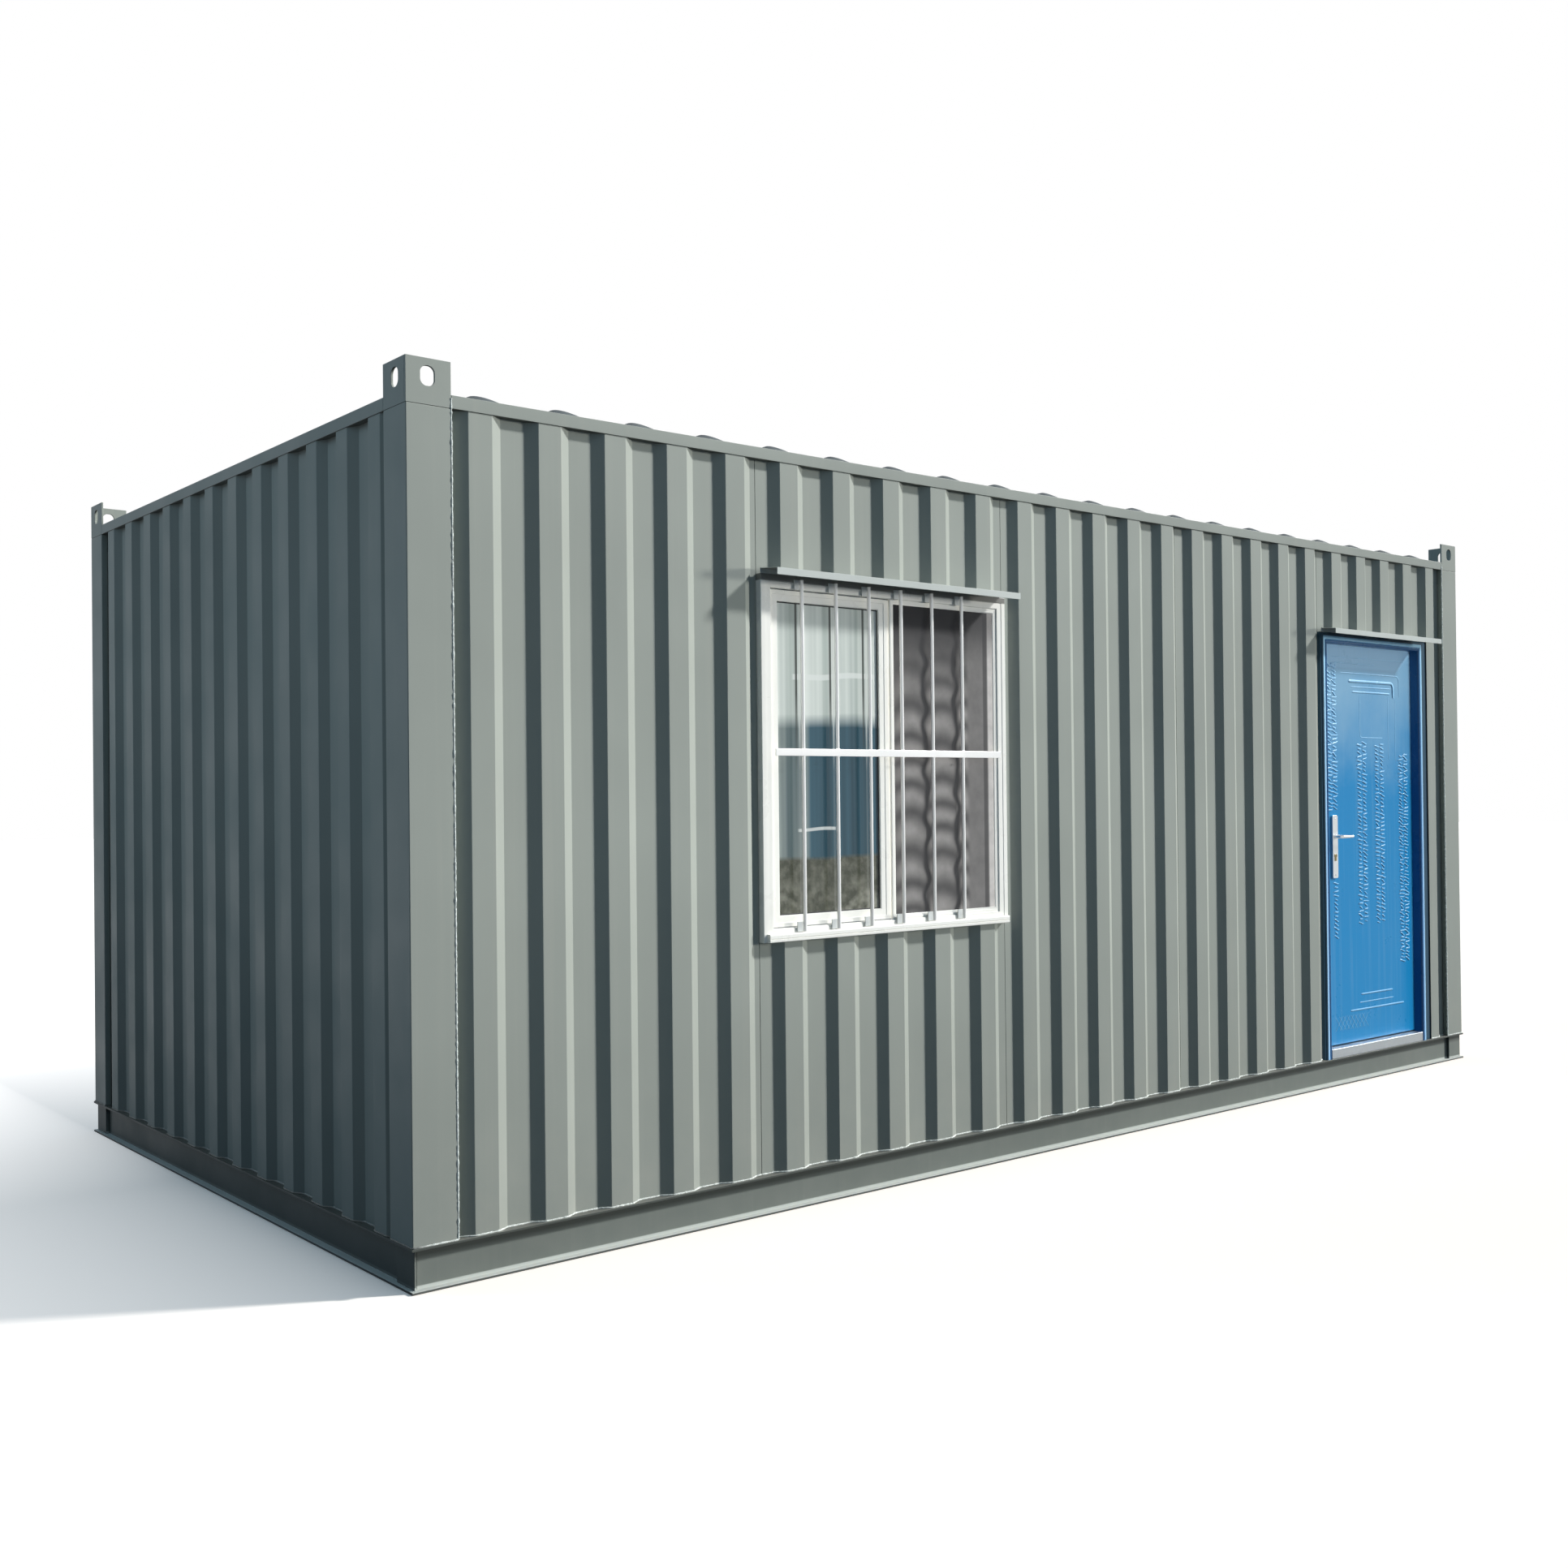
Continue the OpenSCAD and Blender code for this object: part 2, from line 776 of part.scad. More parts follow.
// A sheet folded down along its front edge. Its back edge turns down the outer flats of the wall
// as far as the frame that it shelters, whose top is at z.
module hood(x0, x1, z, out) {
    t = hood_t;
    top = z + hood_rise;
    lip_top = top - hood_fall;
    translate([x0, 0, 0]) rotate([90, 0, 90]) linear_extrude(x1 - x0) polygon([
        [rib_out, top], [-out, lip_top], [-out, lip_top - hood_lip],
        [t - out, lip_top - hood_lip], [t - out, lip_top - t],
        [rib_out - t, top - t], [rib_out - t, z], [rib_out, z]]);
}

module window_hood() {
    color(GREY) on_front() hood(window_x, window_end - window_hood_short, window_top,
        window_hood_out);
}

module door_hood() {
    color(GREY) on_front() hood(door_x, door_end + door_hood_past, door_top, door_hood_out);
}

// ---- Door ----

module door_frame() {
    color(BLUE) on_front() difference() {
        union() {
            box([door_x, door_d + flange_back, floor_z], [door_end, leaf_back, door_top]);
            box([nose_x, door_d, floor_z], [nose_end, door_d + flange_back, head_z + nose_w]);
        }
        box([stop_x, 0, floor_z - over], [stop_end, leaf_back + over, head_z]);
        box([leaf_x - leaf_gap, leaf_front - leaf_gap, floor_z - over],
            [leaf_end + leaf_gap, leaf_back + over, leaf_top + leaf_gap]);
    }
}

module door_threshold() {
    color(SILVER) on_front() box([stop_x, door_d, floor_z],
        [stop_end, leaf_back, floor_z + threshold_h]);
}

// The key cylinder's outline, grown by gap: a round part on a narrower stem.
module key_profile(gap) {
    circle(cylinder_r + gap);
    translate([-cylinder_w / 2 - gap, -cylinder_h - gap])
        square([cylinder_w + 2 * gap, cylinder_h + gap]);
}

module key_shape(gap, y0, y1) {
    translate([spindle_x, y1, key_z]) rotate([90, 0, 0]) linear_extrude(y1 - y0) key_profile(gap);
}

// The hole for the lever's neck, through the leaf and both plates.
module lever_bore() {
    translate([spindle_x, leaf_front - plate_t - over, spindle_z]) rotate([-90, 0, 0])
        cylinder(d = neck_d + 2 * pin_gap, h = leaf_t + 2 * plate_t + 2 * over);
}

module door_leaf() {
    color(BLUE) on_front() difference() {
        box([leaf_x, leaf_front, leaf_z], [leaf_end, leaf_back, leaf_top]);
        lever_bore();
        key_shape(cylinder_gap, leaf_front - over, leaf_back + over);
    }
}

module handle_plates() {
    x0 = spindle_x - plate_w / 2;
    x1 = spindle_x + plate_w / 2;
    color(SILVER) on_front() difference() {
        union() {
            box([x0, leaf_front - plate_t, plate_z], [x1, leaf_front, plate_z + plate_h]);
            box([x0, leaf_back, plate_z], [x1, leaf_back + plate_t, plate_z + plate_h]);
        }
        lever_bore();
        key_shape(cylinder_gap, leaf_front - plate_t - over, leaf_back + plate_t + over);
    }
}

module key_cylinder() {
    color(SILVER) on_front()
        key_shape(0, leaf_front - plate_t - cylinder_stub, leaf_back + plate_t + cylinder_stub);
}

// A lever on each face, joined by the neck that turns in the plates.
module door_lever() {
    front_y0 = leaf_front - plate_t - lever_out;
    back_y1 = leaf_back + plate_t + lever_out;
    color(SILVER) on_front() translate([spindle_x, 0, spindle_z]) {
        translate([0, front_y0, 0]) rotate([-90, 0, 0]) cylinder(d = neck_d, h = back_y1 - front_y0);
        for (y = [front_y0, back_y1]) {
            translate([0, y, 0]) rotate([0, 90, 0]) cylinder(d = grip_d, h = lever_l);
            translate([0, y, 0]) sphere(d = neck_d);
        }
    }
}

function hinge_z(i) = leaf_z + hinge_inset
    + i * (leaf_top - leaf_z - 2 * hinge_inset - barrel_h) / (hinge_count - 1);

// The frame's half of each hinge: a plate on the frame, the upper barrel and the pin.
module door_hinges() {
    half = barrel_h / 2;
    color(SILVER) on_front() for (i = [0 : hinge_count - 1]) {
        z = hinge_z(i);
        box([pin_x, leaf_back, z + half], [pin_x + hinge_plate_w, leaf_back + hinge_plate_t, z + barrel_h]);
        translate([pin_x, pin_depth, z + half]) cylinder(d = barrel_d, h = half);
        translate([pin_x, pin_depth, z]) cylinder(d = pin_d, h = half + over);
    }
}

// The leaf's half: a plate on the leaf and the lower barrel, bored for the pin.
module door_hinge_leaves() {
    half = barrel_h / 2 - seam_gap;
    color(SILVER) on_front() for (i = [0 : hinge_count - 1]) {
        z = hinge_z(i);
        difference() {
            union() {
                box([pin_x - hinge_plate_w, leaf_back, z], [pin_x, leaf_back + hinge_plate_t, z + half]);
                translate([pin_x, pin_depth, z]) cylinder(d = barrel_d, h = half);
            }
            translate([pin_x, pin_depth, z - over])
                cylinder(d = pin_d + 2 * pin_gap, h = half + 2 * over);
        }
    }
}

front_bottom_rail();
back_bottom_rail();
end_bottom_rails();
corner_feet();
floor_cross_members();
floor_board();
corner_posts_front();
corner_posts_back();
lifting_plates_front_back();
lifting_plates_ends();
front_top_rail();
back_top_rail();
end_top_rails();
roof_sheet();
ceiling();
front_sheet_left();
front_sheet_over_window();
front_sheet_under_window();
front_sheet_middle();
front_sheet_right();
front_sheet_over_door();
front_sheet_beside_door();
left_wall_sheet();
right_wall_sheet();
back_wall_sheet();
front_lining();
end_linings();
back_lining();
window_frame();
window_sashes();
window_panes();
fly_screen_frame();
fly_screen_mesh();
window_sill();
window_bars();
window_hood();
door_frame();
door_threshold();
door_hood();
door_hinges();
door_leaf();
door_hinge_leaves();
handle_plates();
key_cylinder();
door_lever();
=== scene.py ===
# %% [markdown]
# # A container house, finished in Blender
# The cabin is a steel box on a channel frame: corrugated walls between four corner posts, a roof
# sheet with pressed mounds, one barred sliding window and one steel door. The construction comes
# in ready-made as a fixed frame of plain solids. This lesson gives them their looks: rounded
# folds, weld beads, glass, cloth, paint and wear. Nothing here moves or resizes the frame.

# %% Load the frame
import itertools
import math

import bmesh
import bpy
import numpy as np
from mathutils import Matrix, Vector


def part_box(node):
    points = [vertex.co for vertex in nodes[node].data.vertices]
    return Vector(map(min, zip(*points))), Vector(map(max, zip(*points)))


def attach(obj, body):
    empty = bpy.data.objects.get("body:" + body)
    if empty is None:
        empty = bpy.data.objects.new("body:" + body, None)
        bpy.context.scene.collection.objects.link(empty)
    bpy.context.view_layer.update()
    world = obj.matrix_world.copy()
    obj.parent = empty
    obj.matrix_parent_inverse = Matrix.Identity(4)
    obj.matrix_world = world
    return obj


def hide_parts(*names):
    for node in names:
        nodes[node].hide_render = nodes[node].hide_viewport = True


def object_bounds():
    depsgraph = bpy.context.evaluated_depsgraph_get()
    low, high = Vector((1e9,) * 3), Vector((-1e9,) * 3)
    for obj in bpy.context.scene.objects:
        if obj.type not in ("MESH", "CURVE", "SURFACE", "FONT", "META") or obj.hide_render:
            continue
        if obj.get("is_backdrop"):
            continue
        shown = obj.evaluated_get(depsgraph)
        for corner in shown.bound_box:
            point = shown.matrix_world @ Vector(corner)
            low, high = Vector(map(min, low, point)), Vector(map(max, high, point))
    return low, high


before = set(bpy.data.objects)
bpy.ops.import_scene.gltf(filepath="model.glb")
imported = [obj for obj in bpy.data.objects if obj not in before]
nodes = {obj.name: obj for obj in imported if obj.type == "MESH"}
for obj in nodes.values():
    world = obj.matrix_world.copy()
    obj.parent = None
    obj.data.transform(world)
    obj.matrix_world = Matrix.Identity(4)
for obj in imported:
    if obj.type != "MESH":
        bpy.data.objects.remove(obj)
cad_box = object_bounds()
print(len(nodes), "pieces in the frame, inside", [[round(v, 3) for v in corner] for corner in cad_box])

# %% [markdown]
# ## Places come from the frame
# A number typed in by hand is wrong as soon as the frame changes, so the main places are measured
# on the solids: the window's edges, the door's stops, the top of the base rail. Blender works in
# metres, and MM lets the small sizes of sheet metal read as millimetres.

# %% Measure the main places
MM = 0.001
rail_low, rail_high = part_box("front_bottom_rail")
post_low, post_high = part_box("corner_posts_front")
window_low, window_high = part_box("window_frame")
leaf_low, leaf_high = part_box("door_leaf")
sill_low, sill_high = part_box("door_threshold")

BASE_TOP = rail_high.z                # top of the base rail, where the walls stand
LEFT_END = rail_low.x                 # the end of the cabin that lies in the shade
print("walls stand on z =", round(BASE_TOP, 3), "and the shaded end is x =", round(LEFT_END, 3))

# %% [markdown]
# ## Small helpers
# A few short functions save most of the typing. wire adds a node to any node tree, and takes a
# socket as a link and anything else as a value. loft lays a skin over a row of rings of corners,
# as a boat builder does over frames, and makes every bar and profile that is not a tree's work.
# hand_over names the body that a piece moves with, the finish that it takes, and the plain
# solids that it stands for.


# %% Helpers for nodes
def wire(tree, kind, inputs=None, **settings):
    """Adds a node. An input given as a socket is linked, anything else is its value."""
    node = tree.nodes.new(kind)
    for name, value in settings.items():
        setattr(node, name, value)
    for key, value in (inputs or {}).items():
        if isinstance(value, bpy.types.NodeSocket):
            tree.links.new(value, node.inputs[key])
        else:
            node.inputs[key].default_value = value
    return node


def reckon(tree, operation, *values):
    """One step of arithmetic on sockets and numbers."""
    return wire(tree, "ShaderNodeMath", dict(enumerate(values)), operation=operation).outputs[0]


def ramp(tree, value, low, high, to_low=0.0, to_high=1.0):
    """Goes from to_low to to_high as value goes from low to high, and stays level outside them."""
    inputs = {0: value, 1: low, 2: high, 3: to_low, 4: to_high}
    return wire(tree, "ShaderNodeMapRange", inputs).outputs["Result"]


def shader_mix(tree, share, below, above):
    return wire(tree, "ShaderNodeMixShader", {0: share, 1: below.outputs[0], 2: above.outputs[0]})


print("node helpers ready")


# %% Helpers for meshes
MERGE = 0.01 * MM                      # corners closer than this are one corner


def new_object(name, mesh):
    piece = bpy.data.objects.new(name, mesh)
    bpy.context.scene.collection.objects.link(piece)
    return piece


def mesh_object(name, corners, faces):
    mesh = bpy.data.meshes.new(name)
    mesh.from_pydata([tuple(c) for c in corners], [], [tuple(f) for f in faces])
    mesh.update()
    return new_object(name, mesh)


def object_from(work, name):
    """Turns a working mesh into an object, and frees it."""
    mesh = bpy.data.meshes.new(name)
    work.to_mesh(mesh)
    work.free()
    return new_object(name, mesh)


def point_outwards(piece):
    work = bmesh.new()
    work.from_mesh(piece.data)
    bmesh.ops.remove_doubles(work, verts=work.verts, dist=MERGE)
    bmesh.ops.recalc_face_normals(work, faces=work.faces)
    work.to_mesh(piece.data)
    work.free()


def loft(name, stations, closed=False):
    """A skin over a row of rings of corners. A row that is not closed gets its two ends filled."""
    rows, count = len(stations), len(stations[0])
    faces = []
    for row in range(rows if closed else rows - 1):
        here, there = row * count, (row + 1) % rows * count
        turn = [(i, (i + 1) % count) for i in range(count)]
        faces += [(here + i, here + j, there + j, there + i) for i, j in turn]
    if not closed:
        faces += [tuple(range(count)), tuple(range(rows * count - 1, (rows - 1) * count - 1, -1))]
    piece = mesh_object(name, [corner for station in stations for corner in station], faces)
    point_outwards(piece)
    return piece


print("mesh helpers ready")


# %% Helpers for finished pieces
def settle(piece):
    """Turns a piece's modifiers into a plain mesh and takes them off."""
    bpy.context.view_layer.update()
    graph = bpy.context.evaluated_depsgraph_get()
    mesh = bpy.data.meshes.new_from_object(piece.evaluated_get(graph))
    piece.modifiers.clear()
    piece.data = mesh
    return piece


def shade(piece, angle=35):
    """Smooth across gentle bends, sharp across edges, and level on the big flat faces."""
    piece.data.shade_smooth()
    piece.data.set_sharp_from_angle(angle=math.radians(angle))
    level = piece.modifiers.new("level", "WEIGHTED_NORMAL")
    level.keep_sharp = True
    return settle(piece)


def hand_over(piece, body, material=None, stands_for=()):
    if material:
        piece.data.materials.clear()
        piece.data.materials.append(material)
    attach(piece, body)
    if stands_for:
        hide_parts(*stands_for)
    return piece


print("helpers for finished pieces ready")

# %% [markdown]
# ## Camera, lamps, world and floor
# The camera stands off the left front corner, below eye height, with a lens a little wider than
# normal, so both walls show. The main lamp is a sun from the right front: it rakes along the
# front wall, so each corrugation gets a light side and a dark side. A low glow from the same side
# stands for the light that a pale yard throws up, and it softens the shade under the hoods. A wide
# blue glow from behind on the left is the open sky, and it is what lights the shaded end.
#
# The world fills in the rest, palest from the right front and nearly dark from across. A lamp
# could do that too, but it would cast a shadow. Rays from the eye, and those that a gloss or a
# pane sends on, see white instead, so the surroundings look like a bright studio.

# %% Camera
CAMERA_PLACE = Vector((-5.053, -5.624, 1.411))
CAMERA_YAW, CAMERA_PITCH, CAMERA_ROLL = 39.57, 0.43, -0.60    # degrees
LENS, SENSOR = 36.42, 36                                       # millimetres
FAR_CLIP = 200                         # metres, well past the floor's far edge


def aim_camera(place, yaw, pitch, roll):
    yaw, pitch, roll = (math.radians(v) for v in (yaw, pitch, roll))
    forward = Vector((math.sin(yaw) * math.cos(pitch), math.cos(yaw) * math.cos(pitch), math.sin(pitch)))
    level = Vector((math.cos(yaw), -math.sin(yaw), 0))
    upright = level.cross(forward)
    right = math.cos(roll) * level + math.sin(roll) * upright
    up = math.cos(roll) * upright - math.sin(roll) * level
    data = bpy.data.cameras.new("camera")
    data.lens = LENS
    data.sensor_width = SENSOR
    data.clip_end = FAR_CLIP
    camera = new_object("camera", data)
    camera.matrix_world = Matrix.Translation(place) @ Matrix((right, up, -forward)).transposed().to_4x4()
    bpy.context.scene.camera = camera


aim_camera(CAMERA_PLACE, CAMERA_YAW, CAMERA_PITCH, CAMERA_ROLL)
print("camera at", tuple(round(v, 2) for v in CAMERA_PLACE))

# %% Lamps
LAMPS = {                              # direction to the lamp, strength, width in degrees, colour
    "sun": ((0.80, -0.44, 0.59), 3.8, 5, (1.0, 1.0, 1.0)),
    "low_glow": ((0.82, -0.40, 0.07), 2.25, 6, (1.0, 0.98, 0.93)),
    "sky_glow": ((-0.62, 0.68, 0.38), 0.80, 30, (0.48, 0.76, 1.0))}
for name, (toward, strength, width, colour) in LAMPS.items():
    lamp = bpy.data.lights.new(name, "SUN")
    lamp.energy = strength
    lamp.color = colour
    lamp.angle = math.radians(width)
    stand = new_object(name, lamp)
    stand.rotation_euler = Vector(toward).to_track_quat("Z", "Y").to_euler()
    stand.visible_glossy = name == "sun"          # the two glows are broad, so they leave no glint
print("lamps:", ", ".join(LAMPS))

# %% World
FILL_SIDE = (0.6, -0.8, 0.1)            # the fill is palest from here, and darkest from across
FILL_PALE, FILL_DARK = (0.168, 0.262, 0.352, 1), (0.008, 0.026, 0.048, 1)
GLOSS_SHARE = 0.7                      # how much of the white room a glossy surface shows
WHITE = (1, 1, 1, 1)

world = bpy.data.worlds.new("world")
bpy.context.scene.world = world
world.use_nodes = True


def seen_directly(tree):
    """1 for rays from the eye and through a pane, and a share for those that a gloss sends on."""
    rays = wire(tree, "ShaderNodeLightPath").outputs
    gloss = reckon(tree, "MULTIPLY", rays["Is Glossy Ray"], GLOSS_SHARE)
    most = reckon(tree, "MAXIMUM", rays["Is Camera Ray"], gloss)
    return reckon(tree, "MAXIMUM", most, rays["Is Transmission Ray"])


sky = world.node_tree
fill = sky.nodes["Background"]
way_back = wire(sky, "ShaderNodeNewGeometry").outputs["Normal"]      # from the sky, back along the ray
facing = wire(sky, "ShaderNodeVectorMath", {0: way_back, 1: -Vector(FILL_SIDE).normalized()},
              operation="DOT_PRODUCT").outputs["Value"]
turned = ramp(sky, facing, -1.0, 1.0)
soft_fill = wire(sky, "ShaderNodeMix", {0: turned, 6: FILL_DARK, 7: FILL_PALE}, data_type="RGBA").outputs[2]
sky.links.new(soft_fill, fill.inputs["Color"])
white = wire(sky, "ShaderNodeBackground", {"Color": WHITE, "Strength": 1.0})
either = shader_mix(sky, seen_directly(sky), fill, white)
sky.links.new(either.outputs[0], sky.nodes["World Output"].inputs["Surface"])
bpy.context.scene.view_settings.view_transform = "Standard"
print("world with", len(sky.nodes), "nodes")

# %% [markdown]
# ### Floor
# The floor has to look white and yet keep the cabin's shadow. So what the eye sees of it is two
# stuffs in one: a pale paint that takes shadows, and a white glow that takes none. Close to the
# shaded end the paint rules and the shadow is at its deepest. Further to the left, and toward
# the back, the glow takes over by and by, as a shadow opens up under a wide sky. The light that
# the floor throws back at the cabin is a third thing, a dull grey.

# %% Floor
FLOOR_HALF = 60.0
FLOOR_DROP = 0.4 * MM                  # it lies this far under the cabin's foot, so the two don't touch
FLOOR_SHADE = (0.10, 0.115, 0.13, 1)        # what the floor throws back at the cabin
FLOOR_WHITE = (1.20, 1.10, 1.00, 1)
FLOOR_GLOW = 1.42
SHADE_REACH = 2.1                      # how far from the end wall the shadow opens up
SHADE_CURVE = 0.52                     # under 1, it opens up fast at first and slowly further on
BACK_FROM, BACK_TO, BACK_LIFT = 0.4, 3.2, 1.1      # and from here to here, going back, it opens up too
FULLY_OPEN = 1.7
LEAST_GLOW, MOST_GLOW = 0.05, 0.95


def make_floor():
    half = FLOOR_HALF
    floor = mesh_object("floor", [(-half, -half, 0), (half, -half, 0), (half, half, 0), (-half, half, 0)],
                        [(0, 1, 2, 3)])
    floor.location.z = -FLOOR_DROP
    stuff = bpy.data.materials.new("pale_floor")
    stuff.use_nodes = True
    tree = stuff.node_tree
    shader = tree.nodes["Principled BSDF"]
    shader.inputs["Roughness"].default_value = 1
    shader.inputs["Specular IOR Level"].default_value = 0
    shader.inputs["Base Color"].default_value = FLOOR_SHADE
    pale = wire(tree, "ShaderNodeBsdfDiffuse", {"Color": FLOOR_WHITE})
    glow = wire(tree, "ShaderNodeEmission", {"Color": WHITE, "Strength": FLOOR_GLOW})
    place = wire(tree, "ShaderNodeTexCoord").outputs["Object"]
    across, behind = (wire(tree, "ShaderNodeSeparateXYZ", {0: place}).outputs[letter] for letter in "XY")
    away = ramp(tree, across, LEFT_END, LEFT_END - SHADE_REACH)
    opening = reckon(tree, "POWER", away, SHADE_CURVE)
    fading = ramp(tree, behind, BACK_FROM, BACK_TO, 0.0, BACK_LIFT)
    open_share = reckon(tree, "ADD", opening, fading)
    share = ramp(tree, open_share, 0.0, FULLY_OPEN, LEAST_GLOW, MOST_GLOW)
    shown = shader_mix(tree, share, pale, glow)
    both = shader_mix(tree, seen_directly(tree), shader, shown)
    tree.links.new(both.outputs[0], tree.nodes["Material Output"].inputs["Surface"])
    floor.data.materials.append(stuff)
    floor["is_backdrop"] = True


make_floor()
print("floor", 2 * FLOOR_HALF, "m wide")

# %% [markdown]
# ## Finishes
# Every finish is a node tree, so it has detail at any distance and needs no picture file. The
# patterns read Object coordinates: all pieces share one origin, so dust, streaks and mottling run
# on from piece to piece, as they do on a real wall. The class below gives short names to the
# few nodes that the patterns are made of: noise makes spots, spread picks out a part of their
# range, blend puts one colour over another, and bump raises the skin.


# %% A finish and its patterns
FINE_SPOTS = 0.55                      # how strong the finest spots of a noise are


class Finish:
    """A material, its Principled shader, and short names for the nodes that patterns need."""

    def __init__(self, name, roughness, metallic=0.0):
        self.material = bpy.data.materials.new(name)
        self.material.use_nodes = True
        self.tree = self.material.node_tree
        self.shader = self.tree.nodes["Principled BSDF"]
        self.keep("Metallic", metallic)
        self.keep("Roughness", roughness)
        self.place = wire(self.tree, "ShaderNodeTexCoord").outputs["Object"]

    def keep(self, socket, value):
        """Sets something that is the same all over the surface."""
        self.shader.inputs[socket].default_value = value

    def join(self, value, socket):
        self.tree.links.new(value, self.shader.inputs[socket])

    def stretched(self, x, y, z):
        """The object's own coordinates, so that a pattern has x, y and z spots to the metre."""
        return wire(self.tree, "ShaderNodeMapping",
                    {"Vector": self.place, "Scale": (x, y, z)}).outputs["Vector"]

    def axis(self, letter):
        return wire(self.tree, "ShaderNodeSeparateXYZ", {0: self.place}).outputs[letter]

    def noise(self, scale, detail, vector=None):
        inputs = {"Vector": vector or self.place, "Scale": scale, "Detail": detail,
                  "Roughness": FINE_SPOTS}
        return wire(self.tree, "ShaderNodeTexNoise", inputs).outputs["Fac"]

    def spread(self, value, low, high, to_low=0.0, to_high=1.0):
        return ramp(self.tree, value, low, high, to_low, to_high)

    def reckon(self, operation, *values):
        return reckon(self.tree, operation, *values)

    def product(self, one, other):
        """1 only where both are 1, and 0 where either is 0."""
        return self.reckon("MULTIPLY", one, other)

    def patchy(self, low, high, scale, detail):
        """A number that wanders between low and high, in patches."""
        return self.spread(self.noise(scale, detail), 0.3, 0.7, low, high)

    def blend(self, amount, below, above):
        """Goes from one colour to another as amount goes from 0 to 1."""
        inputs = {0: amount, 6: below, 7: above}
        return wire(self.tree, "ShaderNodeMix", inputs, data_type="RGBA").outputs[2]

    def bump(self, height, distance, under=None):
        """A bump in metres, on top of another one where under is given."""
        inputs = {"Height": height, "Distance": distance, "Strength": 1.0}
        if under:
            inputs["Normal"] = under
        return wire(self.tree, "ShaderNodeBump", inputs).outputs["Normal"]


def tint(colour, factor):
    """The same colour, darker or lighter."""
    return tuple(min(1, c * factor) for c in colour[:3]) + (1,)


print("patterns ready:", ", ".join(name for name in vars(Finish) if name[0] != "_"))

# %% [markdown]
# ### Paint on steel
# Sprayed paint is never one colour. It has broad patches where the coat is thicker, faint runs
# where rain has carried dust down, splashed dust near the ground, and a fine orange-peel skin.
# Thin sheet also buckles a little between its folds, and a wide shallow bump shows that in the
# gloss.
#
# Some marks follow which way a face looks, and which way it looks is read from its normal. Faces on the end
# that never gets sun get painted shade, a blue-green tint that is strongest at the foot, and every wall is
# painted a little darker toward the ground. Pale dust and a painted highlight lie on ledges, and undersides
# are painted nearly black, as shade. The base rail has more: a painted shadow under its top flange, a painted
# highlight on its lip, and a thin painted contact shadow where it meets the ground. One function makes the
# paint, and the grey, the pale hoods and the white bars only differ in values.

# %% Marks of weather, and painted shade and light
DUST = (0.42, 0.41, 0.36, 1)
# painted shade for faces on the end that never gets sun, a blue-green tint
END_SHADE_COLOUR = (0.060, 0.094, 0.098, 1)
# painted highlight on the base rail's lower lip
LIP_HIGHLIGHT = (0.56, 0.585, 0.545, 1)
SPLASH_TOP, SPLASH_FOOT = 0.55, 0.10   # splashed dust starts at one height and is full at the other
END_SHADE_TOP, END_SHADE = 1.9, 0.74             # the painted shade on the shaded end starts at this height, and has this strength at the foot
FOOT_SHADE_TOP, FOOT_SHADE_LOW, FOOT_SHADE = 1.3, 0.1, 0.22      # painted shade: every wall gets a little darker toward the ground
SUNNY_FROM, SUNNY_TO = 20 * MM, 150 * MM        # the pale dust and painted highlight on ledges are faint at the shaded end
FLANGE_SHADOW = (86 * MM, 104 * MM)     # heights on the base rail: painted shadow under the top flange, painted highlight on the lip, painted contact shadow
LIP = (18 * MM, 15 * MM)
CONTACT_SHADOW = (7 * MM, 6 * MM)
LEVEL = (0.35, 0.85)                   # a face that leans this far, or further, counts as lying level
UNDERSIDE_SHADE, UNDERSIDE_SHADE_TINT = 0.85, 0.12         # painted shade on undersides
print("weather marks from", CONTACT_SHADOW[1], "m to", END_SHADE_TOP, "m up")


# %% Paint
def base_rail_marks(f, skin, colour, shaded_side, strength):
    """Painted shadow under the top flange, a painted highlight on the lip, painted shade on the shaded end
    and a painted contact shadow at the foot.
    """
    skin = f.blend(f.spread(f.axis("Z"), *FLANGE_SHADOW, 0, strength), skin, tint(colour, 0.25))
    skin = f.blend(f.spread(f.axis("Z"), *LIP, 0, strength), skin, LIP_HIGHLIGHT)
    skin = f.blend(f.product(shaded_side, 0.88), skin, tint(END_SHADE_COLOUR, 0.3))
    return f.blend(f.spread(f.axis("Z"), *CONTACT_SHADOW, 0, strength), skin, tint(colour, 0.1))


